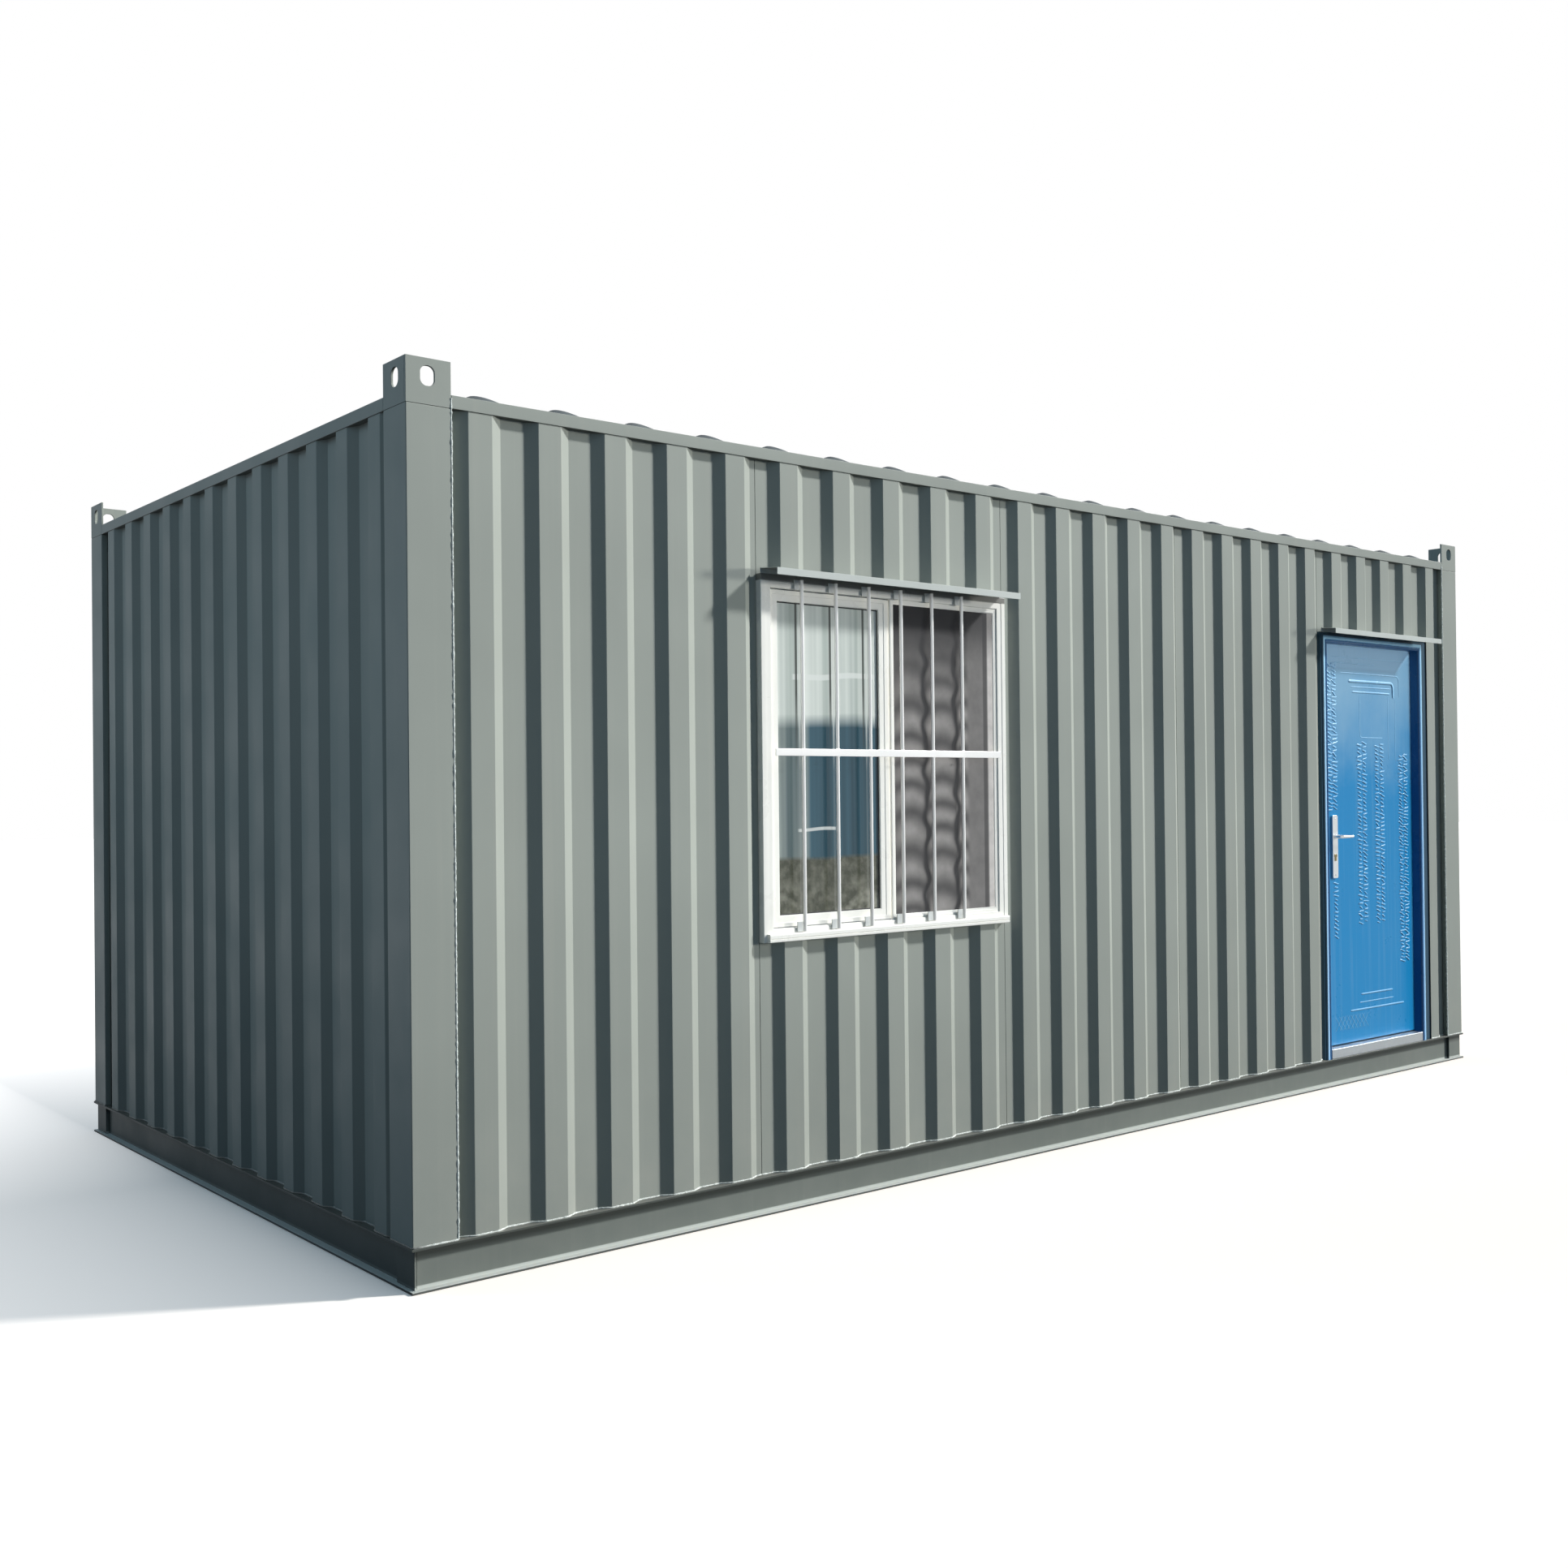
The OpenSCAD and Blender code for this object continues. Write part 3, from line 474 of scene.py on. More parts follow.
def paint(name, colour, roughness, patches=0.05, runs=0.16, splash=0.30, buckle=0.6, metal=0.0, ledges=0.0,
          ledge_shade=0.0):
    """patches, runs, splash and ledges are strengths from 0 to 1, and buckle is in centimetres."""
    f = Finish(name, roughness, metal)
    f.keep("Specular IOR Level", 0.2)
    wide = f.spread(f.noise(0.9, 4), 0.35, 0.65)
    skin = f.blend(wide, tint(colour, 1 - patches), tint(colour, 1 + patches))
    cloudy = f.spread(f.noise(6.5, 5, f.stretched(1, 1, 0.35)), 0.42, 0.72, 0, 0.5)
    skin = f.blend(f.product(cloudy, patches * 4), skin, tint(colour, 0.80))
    rain = f.spread(f.noise(1.0, 4, f.stretched(26, 26, 0.55)), 0.55, 0.80, 0, runs)
    skin = f.blend(rain, skin, DUST)
    near_ground = f.spread(f.axis("Z"), SPLASH_FOOT, SPLASH_TOP, 1, 0)
    soiled = f.product(near_ground, f.spread(f.noise(9, 6), 0.40, 0.70, 0, splash))
    skin = f.blend(soiled, skin, DUST)
    normal = wire(f.tree, "ShaderNodeNewGeometry").outputs["Normal"]
    faces = wire(f.tree, "ShaderNodeSeparateXYZ", {0: normal}).outputs
    # painted shade: faces that look toward the shaded end get darker toward the foot
    shaded_side = f.spread(faces["X"], -0.45, -0.85)
    end_shade = f.product(shaded_side, f.spread(f.axis("Z"), END_SHADE_TOP, 0.0, 0.0, END_SHADE))
    skin = f.blend(end_shade, skin, END_SHADE_COLOUR)
    # painted shade, darker toward the ground
    skin = f.blend(f.spread(f.axis("Z"), FOOT_SHADE_TOP, FOOT_SHADE_LOW, 0.0, FOOT_SHADE), skin, tint(colour, 0.3))
    # upward faces get pale dust and a painted highlight
    if ledges:
        sunny = f.spread(f.axis("X"), LEFT_END + SUNNY_FROM, LEFT_END + SUNNY_TO, 0.1, 1)
        lying = f.product(f.spread(faces["Z"], *LEVEL), sunny)
        skin = f.blend(f.product(lying, ledges), skin, tint(DUST, 1.7))
    if ledge_shade:
        skin = base_rail_marks(f, skin, colour, shaded_side, ledge_shade)
    # undersides are painted nearly black, as shade
    underside_in_shade = f.spread(faces["Z"], -LEVEL[0], -LEVEL[1], 0, UNDERSIDE_SHADE)
    f.join(f.blend(underside_in_shade, skin, tint(colour, UNDERSIDE_SHADE_TINT)), "Base Color")
    f.join(f.patchy(roughness - 0.07, roughness + 0.09, 3.5, 5), "Roughness")
    sheet = f.bump(f.noise(2.4, 1, f.stretched(1, 1, 0.6)), buckle * 10 * MM)
    f.join(f.bump(f.noise(420, 2), 0.06 * MM, sheet), "Normal")
    return f.material


GREY = paint("grey_paint", (0.322, 0.344, 0.308), 0.50)
GREY_THICK = paint("grey_paint_on_plate", (0.312, 0.334, 0.300), 0.44, buckle=0.1)
# darker than the walls' grey: dirt, and painted shade for the rails' recessed web
GREY_RAIL_DIRT_AND_SHADE = paint("grey_paint_on_rails_dirt_and_shade", (0.196, 0.216, 0.194), 0.46, runs=0.08, splash=0.08, buckle=0.1,
                  ledges=0.8, ledge_shade=0.8)
# paler than the walls' grey: cleaner paint, and a painted highlight for the light that the hoods' lips catch
GREY_HOOD_CLEAN_AND_LIT = paint("grey_paint_on_hoods_clean_and_lit", (0.56, 0.59, 0.555), 0.42, splash=0.0, buckle=0.1)
# darker than the walls' grey: painted shade on the roof's mounds
ROOF_PAINT_SHADED = paint("roof_paint_shaded", (0.100, 0.117, 0.120), 0.50, runs=0.10, buckle=0.8)
WHITE_STEEL = paint("white_paint", (0.95, 0.945, 0.92), 0.38, 0.01, 0.03, 0.0, 0.0, metal=0.50)
print("paints:", GREY.name, GREY_RAIL_DIRT_AND_SHADE.name, GREY_HOOD_CLEAN_AND_LIT.name, WHITE_STEEL.name)

# %% [markdown]
# ### Welds, sealant and bare metal
# A weld bead is rough, and it is painted paler than the paint round it, a painted highlight for the light it
# catches, except on the shaded end, where it is painted darker as shade. Sealant and rubber are nearly black
# and dull. The door's metal parts are brushed: their scratches are a noise stretched along one direction,
# which changes only the roughness and a very small bump.

# %% Plain finishes with their own detail
SHADED_END_FROM, SHADED_END_TO = 60 * MM, 20 * MM         # from the shaded end, along the wall


def rough_finish(name, colour, roughness, lumps, scale, contrast=0.15, darker_at_shaded_end=False):
    """lumps is the height of the roughness in metres, and scale says how fine it is."""
    f = Finish(name, roughness)
    spots = f.spread(f.noise(scale, 5), 0.35, 0.68)
    skin = f.blend(spots, tint(colour, 1 - contrast), tint(colour, 1 + contrast))
    # painted shade: beads at the shaded end are darker
    if darker_at_shaded_end:
        end_shade_mask = f.spread(f.axis("X"), LEFT_END + SHADED_END_FROM, LEFT_END + SHADED_END_TO)
        skin = f.blend(end_shade_mask, skin, tint(colour, 0.2))
    f.join(skin, "Base Color")
    f.join(f.bump(f.noise(scale * 2.5, 4), lumps), "Normal")
    return f.material


def brushed(name, colour, roughness, along):
    """Bare metal, with its scratches along one axis."""
    f = Finish(name, roughness, 1.0)
    grain = f.noise(1.0, 3, f.stretched(*[6 if axis == along else 700 for axis in "XYZ"]))
    smears = f.spread(f.noise(35, 4), 0.35, 0.7, 0.82, 1.0)
    f.join(f.blend(smears, tint(colour, 0.72), colour + (1,)), "Base Color")
    f.join(f.spread(grain, 0.3, 0.7, roughness - 0.08, roughness + 0.12), "Roughness")
    f.join(f.bump(grain, 0.02 * MM), "Normal")
    return f.material


# pale colours: a painted highlight for the light the beads catch
WELD = rough_finish("painted_weld", (0.62, 0.65, 0.61), 0.55, 0.8 * MM, 160, 0.3, darker_at_shaded_end=True)
WELD_PALE = rough_finish("post_weld", (0.62, 0.66, 0.62), 0.50, 0.8 * MM, 130, 0.35)
TAB_PLASTIC = rough_finish("tab_plastic", (0.66, 0.68, 0.66), 0.35, 0.05 * MM, 40, 0.08)
SEALANT = rough_finish("sealant", (0.035, 0.040, 0.042), 0.7, 0.3 * MM, 60)
BRUSH = rough_finish("brush_pile", (0.20, 0.21, 0.21), 0.8, 0.3 * MM, 300)
RUBBER = rough_finish("rubber", (0.020, 0.021, 0.022), 0.6, 0.1 * MM, 200)
PRIMER = rough_finish("floor_primer", (0.10, 0.11, 0.11), 0.6, 0.2 * MM, 30, 0.3)
HANDLE = brushed("brushed_handle", (0.80, 0.82, 0.82), 0.34, "Z")
SILL = brushed("brushed_sill", (0.50, 0.535, 0.56), 0.36, "X")
ZINC = brushed("zinc", (0.60, 0.61, 0.62), 0.38, "X")
BRASS = brushed("worn_brass", (0.42, 0.34, 0.18), 0.36, "Y")
print("bare metals:", HANDLE.name, SILL.name, ZINC.name, BRASS.name)

# %% [markdown]
# ### Window profile
# White window profile is extruded plastic with a satin skin. Rain leaves a greyish film on it, so that film
# is a noise in the plastic's own colour, stretched upright. Right under the hood a thin dark line is painted
# on, painted shade where the hood overhangs the frame.

# %% Window profile
CLEAN_PROFILE, GREYISH_PROFILE = (0.92, 0.905, 0.840, 1), (0.73, 0.72, 0.650, 1)
HOOD_SHADE_LINE = (0.09, 0.09, 0.08, 1)
HOOD_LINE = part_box("window_hood")[0].z


def window_profile():
    f = Finish("white_profile", 0.30)
    film = f.spread(f.noise(14, 6, f.stretched(1, 1, 0.4)), 0.50, 0.78, 0, 0.35)
    # painted shade: a thin dark line right under the hood
    painted_hood_shade = f.spread(f.axis("Z"), HOOD_LINE - 10 * MM, HOOD_LINE - 6 * MM, 0, 0.85)
    f.join(f.blend(painted_hood_shade, f.blend(film, CLEAN_PROFILE, GREYISH_PROFILE), HOOD_SHADE_LINE), "Base Color")
    f.join(f.patchy(0.24, 0.38, 9, 4), "Roughness")
    f.join(f.bump(f.noise(300, 2), 0.02 * MM), "Normal")
    return f.material


PROFILE = window_profile()
print(PROFILE.name, "with grime under z =", round(HOOD_LINE, 3))

# %% [markdown]
# ### The blue door
# The door is blue gloss paint. Toward its head it is painted paler, a painted reflection of the sky, and
# below that the blue is deep and clean. The painted reflection follows the height, broken by noise. Right
# under the hood a paler band is painted in, painted light that fills the hood's shadow, and that band gets
# thinner and ends where the hood ends. Pressed ridges are painted paler than the flat skin, a painted
# highlight.

# %% Door paint
BLUE_DEEP, BLUE_PAINTED_SHEEN, BLUE_SHADOW_LIFT = (0.012, 0.238, 0.520, 1), (0.255, 0.455, 0.615, 1), (0.47, 0.74, 0.98, 1)
BLUE_FRAME, BLUE_PALE = (0.010, 0.088, 0.232, 1), (0.05, 0.16, 0.32, 1)
# the frame's nose band is painted pale, a painted highlight
BLUE_RIDGE_HIGHLIGHT, BLUE_NOSE_HIGHLIGHT = (0.180, 0.455, 0.715, 1), (0.350, 0.620, 0.900, 1)
BLUE_FLANGE, FLANGE_PAINTED_SHEEN = (0.022, 0.062, 0.100, 1), (0.04, 0.09, 0.13, 1)
PAINTED_SHEEN_FROM, PAINTED_SHEEN_FULL = 1.36, 1.96    # heights where the painted sheen starts, and where it is full
SHADOW_LIFT_FROM, SHADOW_LIFT_FULL = 1.978, 2.016
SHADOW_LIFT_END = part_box("door_hood")[1].x - 0.245      # past here the painted light in the hood's shadow gets thinner
SHADOW_LIFT_SLOPE = 0.74                     # how steeply it does so


def door_paint(name, deep, painted_sheen_colour, painted_sheen_amount, roughness, shadow_lift_amount=0.0):
    f = Finish(name, roughness)
    height = f.reckon("ADD", f.axis("Z"), f.patchy(-0.14, 0.14, 3.2, 4))
    # painted reflection of the sky: paler toward the head
    painted_sheen = f.spread(height, PAINTED_SHEEN_FROM, PAINTED_SHEEN_FULL, 0.0, painted_sheen_amount)
    skin = f.blend(painted_sheen, deep, painted_sheen_colour)
    # painted light that fills the hood's shadow on the leaf, thinning out past the hood's end
    past_end = f.reckon("MAXIMUM", f.reckon("SUBTRACT", f.axis("X"), SHADOW_LIFT_END), 0.0)
    shadow_lift_height = f.reckon("SUBTRACT", f.axis("Z"), f.product(past_end, SHADOW_LIFT_SLOPE))
    shadow_lift = f.spread(shadow_lift_height, SHADOW_LIFT_FROM, SHADOW_LIFT_FULL, 0.0, shadow_lift_amount)
    skin = f.blend(shadow_lift, skin, BLUE_SHADOW_LIFT)
    runs = f.spread(f.noise(1.0, 4, f.stretched(40, 40, 0.9)), 0.52, 0.80, 0, 0.22)
    f.join(f.blend(runs, skin, painted_sheen_colour), "Base Color")
    f.join(f.patchy(roughness - 0.05, roughness + 0.10, 5, 4), "Roughness")
    f.keep("Specular IOR Level", 0.22)
    f.join(f.bump(f.noise(260, 3), 0.08 * MM), "Normal")
    return f.material


BLUE = door_paint("blue_door_paint", BLUE_DEEP, BLUE_PAINTED_SHEEN, 0.85, 0.30, 0.68)
# paler blue for the ridges and strokes, a painted highlight
BLUE_RAISED_HIGHLIGHT = door_paint("blue_raised_highlight_paint", BLUE_RIDGE_HIGHLIGHT, tint(BLUE_PAINTED_SHEEN, 1.5), 0.8, 0.26, 0.64)
BLUE_EDGE = door_paint("blue_frame_paint", BLUE_FRAME, BLUE_PALE, 0.3, 0.26)
BLUE_ROUND_HIGHLIGHT = door_paint("blue_nose_highlight_paint", BLUE_NOSE_HIGHLIGHT, tint(BLUE_NOSE_HIGHLIGHT, 1.5), 0.3, 0.22)
BLUE_DARK = door_paint("blue_flange_paint", BLUE_FLANGE, FLANGE_PAINTED_SHEEN, 0.3, 0.34)
print("door paints:", BLUE.name, BLUE_RAISED_HIGHLIGHT.name, BLUE_EDGE.name, BLUE_ROUND_HIGHLIGHT.name, BLUE_DARK.name)

# %% [markdown]
# ### Glass and fly screen
# A pane both lets light through and throws it back. Here what it mirrors across the yard is painted on: pale
# sheds above, a dim wall with a teal one beside it, and stony ground at the foot. Those painted reflections
# are soft bands of colour at fixed heights on the pane. The cabin's own window is painted in them too: two
# pale cross lines, and for each round bar a dark line with a pale one beside it.
#
# The fly screen is a cloth of fine threads. How light it is in each place is painted shading, from an
# attribute that its own mesh carries, so the painted shading follows its ripples.

# %% Glass
BAR_RADIUS = 7 * MM
BAR_PITCH = 157 * MM                   # from bar to bar
FIRST_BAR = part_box("window_frame")[0].x + 175 * MM

SHED_PALE, SHED_BRIGHT = (0.52, 0.58, 0.54, 1), (0.88, 0.92, 0.86, 1)
WALL_DIM, WALL_PALE = (0.10, 0.145, 0.155, 1), (0.34, 0.39, 0.37, 1)
TEAL_DARK, TEAL_PALE = (0.036, 0.080, 0.105, 1), (0.060, 0.140, 0.185, 1)
GROUND_DARK, GROUND_PALE, STONES = (0.088, 0.093, 0.070, 1), (0.182, 0.184, 0.146, 1), (0.34, 0.34, 0.28, 1)
LINE_PALE, BAR_PALE, BAR_DARK = (0.88, 0.91, 0.87, 1), (0.70, 0.73, 0.69, 1), (0.05, 0.055, 0.05, 1)
GROUND_TOP, SHED_FOOT = (0.165, 0.180), (0.600, 0.650)      # in shares of the pane's height
TEAL_START = (0.24, 0.29)              # in shares of half the pane's width
CROSS_LINES = ((0.762, 0.018, 0.13, 1.00), (0.262, 0.010, 0.17, 0.50))      # height, thickness, start, end


def cross_line(f, up, across, height, thick, start, end):
    """1 on a short level line of the mirrored window, and 0 round it."""
    soft, blur = 0.003, 0.02
    line = f.product(f.spread(up, height, height + soft),
                     f.spread(up, height + thick, height + thick + soft, 1, 0))
    part = f.product(f.spread(across, start, start + blur), f.spread(across, end, end + blur, 1, 0))
    return f.product(line, part)


def to_bar(f, shift):
    """How far a place is from the nearest bar, or from a line that stands beside each bar."""
    return f.reckon("PINGPONG", f.reckon("SUBTRACT", f.axis("X"), FIRST_BAR + shift), BAR_PITCH / 2)


def pane_glass():
    """Painted reflections: bands of what the pane mirrors, at heights and places worked out from the pane
    itself.
    """
    low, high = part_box("window_panes")
    f = Finish("pane_glass", 0.04)
    f.keep("Transmission Weight", 0.22)
    f.keep("IOR", 1.45)
    up = f.reckon("ADD", f.spread(f.axis("Z"), low.z, high.z), f.patchy(-0.015, 0.015, 1.7, 2))
    across = f.spread(f.axis("X"), low.x, low.x + 0.5 * (high.x - low.x))
    soft = f.spread(f.noise(1.0, 2, f.stretched(17, 17, 0.15)), 0.36, 0.60)
    pale, wall, teal = (f.blend(soft, *pair) for pair in (
        (SHED_PALE, SHED_BRIGHT), (WALL_DIM, WALL_PALE), (TEAL_DARK, TEAL_PALE)))
    ground = f.blend(f.spread(f.noise(26, 5), 0.4, 0.65), GROUND_DARK, GROUND_PALE)
    stones = f.product(f.spread(f.noise(11, 3), 0.50, 0.64), f.spread(up, 0.11, 0.03))
    ground = f.blend(stones, ground, STONES)
    low_part = f.blend(f.spread(across, *TEAL_START), wall, teal)
    skin = f.blend(f.spread(up, *GROUND_TOP), ground, low_part)
    skin = f.blend(f.spread(up, *SHED_FOOT), skin, pale)
    for line in CROSS_LINES:
        skin = f.blend(f.product(cross_line(f, up, across, *line), 0.75), skin, LINE_PALE)
    on_bar, beside_bar = to_bar(f, 0.0), to_bar(f, 2 * BAR_RADIUS)
    fading = f.spread(up, 0.45, 0.72, 0.10, 0.9)
    skin = f.blend(f.product(f.spread(beside_bar, 5 * MM, 4 * MM), fading), skin, BAR_PALE)
    skin = f.blend(f.product(f.spread(on_bar, 6 * MM, 4 * MM), fading), skin, BAR_DARK)
    f.join(skin, "Base Color")
    f.join(f.bump(f.noise(2.0, 1), 0.5 * MM), "Normal")
    print("pane", round(high.x - low.x, 3), "by", round(high.z - low.z, 3), "m")
    return f.material


GLASS = pane_glass()


# %% Fly screen cloth
THREAD = 0.7 * MM                      # half the pitch of the threads
CLOTH_DARK, CLOTH_PALE = (0.010, 0.010, 0.012, 1), (0.660, 0.625, 0.590, 1)


def screen_cloth():
    f = Finish("screen_cloth", 0.85)
    painted_shading_tone = wire(f.tree, "ShaderNodeAttribute", attribute_name="fold").outputs["Fac"]
    along, upright = (f.spread(f.reckon("PINGPONG", f.axis(letter), THREAD), 0, THREAD, 0.55, 1)
                      for letter in "XZ")
    threads = f.product(along, upright)
    blotch = f.patchy(0.80, 1.12, 16, 5)
    weave = f.product(blotch, f.spread(threads, 0.3, 1, 0.9, 1.05))
    f.join(f.blend(f.product(painted_shading_tone, weave), CLOTH_DARK, CLOTH_PALE), "Base Color")
    f.keep("Sheen Weight", 0.15)
    f.join(f.bump(threads, 0.15 * MM), "Normal")
    return f.material


CLOTH = screen_cloth()
print(CLOTH.name, "with a thread every", 2 * THREAD, "m")

# %% [markdown]
# ### Inside the cabin
# The lining is white board in panels a little over a metre wide, with a fine dark joint between
# them. The floor is board with a printed plank pattern. Both show when the door stands open.

# %% Lining and floor board
PANEL_WIDTH = 1.15
JOINT_HALF, JOINT_EDGE = 1.5 * MM, 3 * MM
BOARD_DIM, BOARD_PALE, BOARD_JOINT = (0.70, 0.70, 0.67, 1), (0.76, 0.76, 0.74, 1), (0.25, 0.25, 0.24, 1)
PLANK_DARK, PLANK_PALE = (0.33, 0.24, 0.155, 1), (0.42, 0.32, 0.22, 1)
PLANK_JOINT, PLANK_GRAIN = (0.08, 0.06, 0.045, 1), (0.20, 0.14, 0.09, 1)
PLANK_LENGTH, PLANK_WIDTH = 1.2, 0.15


def lining_board():
    f = Finish("lining_board", 0.5)
    along = f.reckon("ADD", f.axis("X"), f.axis("Y"))
    joint = f.spread(f.reckon("PINGPONG", along, PANEL_WIDTH / 2), JOINT_HALF, JOINT_EDGE, 1, 0)
    board = f.blend(f.spread(f.noise(4, 5), 0.35, 0.7), BOARD_DIM, BOARD_PALE)
    f.join(f.blend(joint, board, BOARD_JOINT), "Base Color")
    f.join(f.bump(f.noise(150, 3), 0.1 * MM), "Normal")
    return f.material


def floor_planks():
    f = Finish("floor_planks", 0.42)
    planks = wire(f.tree, "ShaderNodeTexBrick", {
        "Vector": f.place, "Color1": PLANK_DARK, "Color2": PLANK_PALE, "Mortar": PLANK_JOINT, "Scale": 1.0,
        "Mortar Size": 1.5 * MM, "Brick Width": PLANK_LENGTH, "Row Height": PLANK_WIDTH})
    grain = f.spread(f.noise(1, 6, f.stretched(4, 60, 60)), 0.35, 0.7, 0, 0.6)
    f.join(f.blend(grain, planks.outputs["Color"], PLANK_GRAIN), "Base Color")
    f.join(f.bump(grain, 0.15 * MM), "Normal")
    return f.material


LINING = lining_board()
PLANKS = floor_planks()
print(len(bpy.data.materials), "materials made")

# %% [markdown]
# ## Corrugated sheets
# The walls are thin sheet, pressed into ribs on a brake or by rolls, so every fold has a radius.
# That radius draws the soft line of light down each rib, and a sharp fold looks like card. A rib
# follows a rule, so this is work for Geometry Nodes: take the outline of the folds, round its
# corners with Fillet Curve, and pull it up to the height of the wall. The outline itself is read
# off the frame's sheet. Solidify then gives the steel its thickness, inwards.


# %% A geometry tree and its run
def geometry_tree(name, **inputs):
    """A tree with a geometry input, a material and named numbers. Gives its inputs, and a closer."""
    tree = bpy.data.node_groups.new(name, "GeometryNodeTree")
    tree.interface.new_socket("Geometry", in_out="INPUT", socket_type="NodeSocketGeometry")
    tree.interface.new_socket("Material", in_out="INPUT", socket_type="NodeSocketMaterial")
    for title, value in inputs.items():
        kind = "NodeSocketInt" if isinstance(value, int) else "NodeSocketFloat"
        tree.interface.new_socket(title, in_out="INPUT", socket_type=kind).default_value = value
    tree.interface.new_socket("Geometry", in_out="OUTPUT", socket_type="NodeSocketGeometry")
    given = tree.nodes.new("NodeGroupInput").outputs

    def close(shape):
        real = wire(tree, "GeometryNodeRealizeInstances", {0: shape}).outputs[0]
        painted = wire(tree, "GeometryNodeSetMaterial", {"Geometry": real, "Material": given["Material"]})
        tree.links.new(painted.outputs[0], tree.nodes.new("NodeGroupOutput").inputs[0])
        return tree

    return tree, given, close


def vector(tree, **parts):
    """A direction from numbers and sockets, given as X, Y and Z."""
    return wire(tree, "ShaderNodeCombineXYZ", parts).outputs[0]


def as_curve(tree, given):
    return wire(tree, "GeometryNodeMeshToCurve", {"Mesh": given["Geometry"]}).outputs[0]


def round_corners(tree, path, radius, steps):
    inputs = {"Curve": path, "Radius": radius, "Count": steps, "Limit Radius": True}
    return wire(tree, "GeometryNodeFilletCurve", inputs, mode="POLY").outputs[0]


def cut_to_steps(tree, path, length):
    inputs = {"Curve": path, "Length": length}
    return wire(tree, "GeometryNodeResampleCurve", inputs, mode="LENGTH").outputs[0]


def lay_on(tree, points, thing, **settings):
    """Puts a copy of a thing on every point."""
    inputs = {"Points": points, "Instance": thing} | settings
    return wire(tree, "GeometryNodeInstanceOnPoints", inputs).outputs[0]


def row_of_points(tree, count, step):
    return wire(tree, "GeometryNodeMeshLine", {"Count": count, "Offset": step}).outputs[0]


def sweep_round(tree, path, radius, sides, thickness=1.0):
    """Sweeps a round section along a path, and closes the ends."""
    ring = wire(tree, "GeometryNodeCurvePrimitiveCircle", {"Resolution": sides, "Radius": radius})
    return wire(tree, "GeometryNodeCurveToMesh", {
        "Curve": path, "Profile Curve": ring.outputs[0], "Scale": thickness, "Fill Caps": True}).outputs[0]


print("tree helpers ready")


# %% Run a tree
def paths_mesh(name, paths):
    """A mesh of loose lines, one for each path."""
    corners, edges = [], []
    for path in paths:
        start = len(corners)
        corners += [tuple(c) for c in path]
        edges += [(start + i, start + i + 1) for i in range(len(path) - 1)]
    mesh = bpy.data.meshes.new(name)
    mesh.from_pydata(corners, edges, [])
    return mesh


def grow(name, base, tree, material, **values):
    """Runs a tree on a base mesh, and gives back the plain mesh that it makes."""
    piece = new_object(name, base)
    growth = piece.modifiers.new(tree.name, "NODES")
    growth.node_group = tree
    values["Material"] = material
    for item in tree.interface.items_tree:
        if item.in_out == "INPUT" and item.name in values:
            growth[item.identifier] = values[item.name]
    return settle(piece)


print("trees can be run")


# %% The tree that folds a sheet
def fold_tree():
    tree, given, close = geometry_tree("fold_sheet", Bend_Radius=6 * MM, Height=1.0)
    rounded = round_corners(tree, as_curve(tree, given), given["Bend_Radius"], 3)
    line = wire(tree, "GeometryNodeCurveToMesh", {"Curve": rounded}).outputs[0]
    rise = vector(tree, Z=given["Height"])
    sheet = wire(tree, "GeometryNodeExtrudeMesh", {"Mesh": line, "Offset": rise}, mode="EDGES")
    return close(sheet.outputs["Mesh"])


FOLD = fold_tree()
print(FOLD.name, "has", len(FOLD.nodes), "nodes")

# %% Fold one sheet
BEND = 6 * MM
SHEET = 2 * MM
JOINT = 1.2 * MM                       # each sheet stops this short of the next one


def outer_folds(node, outward):
    """The corners of a sheet's outer outline, in order along the wall, at its foot."""
    corners = np.array([v.co for v in nodes[node].data.vertices])
    depth, along = (1, 0) if outward.y else (0, 1)
    sign = outward[depth]
    best = {}
    for corner in corners:
        key = round(corner[along], 4)
        if key not in best or sign * corner[depth] > sign * best[key][depth]:
            best[key] = corner
    line = [best[key] for key in sorted(best)]
    line[0][along] += JOINT
    line[-1][along] -= JOINT
    return [(c[0], c[1], corners[:, 2].min()) for c in line]


def fold_sheet(node, outward):
    low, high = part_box(node)
    outline = paths_mesh(node + "_outline", [outer_folds(node, outward)])
    piece = grow(node + "_folded", outline, FOLD, GREY, Bend_Radius=BEND, Height=high.z - low.z)
    facing = sum((p.normal for p in piece.data.polygons), Vector())
    if facing.dot(outward) < 0:
        piece.data.flip_normals()
    thick = piece.modifiers.new("thickness", "SOLIDIFY")
    thick.thickness = SHEET
    thick.offset = -1
    settle(piece)
    return hand_over(shade(piece, 50), "cabin", None, [node])


print("sheets are", SHEET, "m thick and bend at", BEND, "m")

# %% Fold all ten sheets
FRONT, BACK, LEFT, RIGHT = Vector((0, -1, 0)), Vector((0, 1, 0)), Vector((-1, 0, 0)), Vector((1, 0, 0))
FRONT_SHEETS = ["front_sheet_" + part for part in (
    "left", "over_window", "under_window", "middle", "right", "over_door", "beside_door")]
SHEETS = dict.fromkeys(FRONT_SHEETS, FRONT) | {
    "left_wall_sheet": LEFT, "right_wall_sheet": RIGHT, "back_wall_sheet": BACK}
for node, outward in SHEETS.items():
    folded = fold_sheet(node, outward)
    print(folded.name, len(folded.data.polygons), "faces")

# %% [markdown]
# ## Rounded edges on plate, rail and profile
# Rolled channel, cut plate and window profile all have slightly round edges, and each one takes a
# thin line of light. The shapes of these solids are right as they are, so a copy of each is
# merged, freed of the lines that cross its flat faces, and bevelled at its real edge radius.


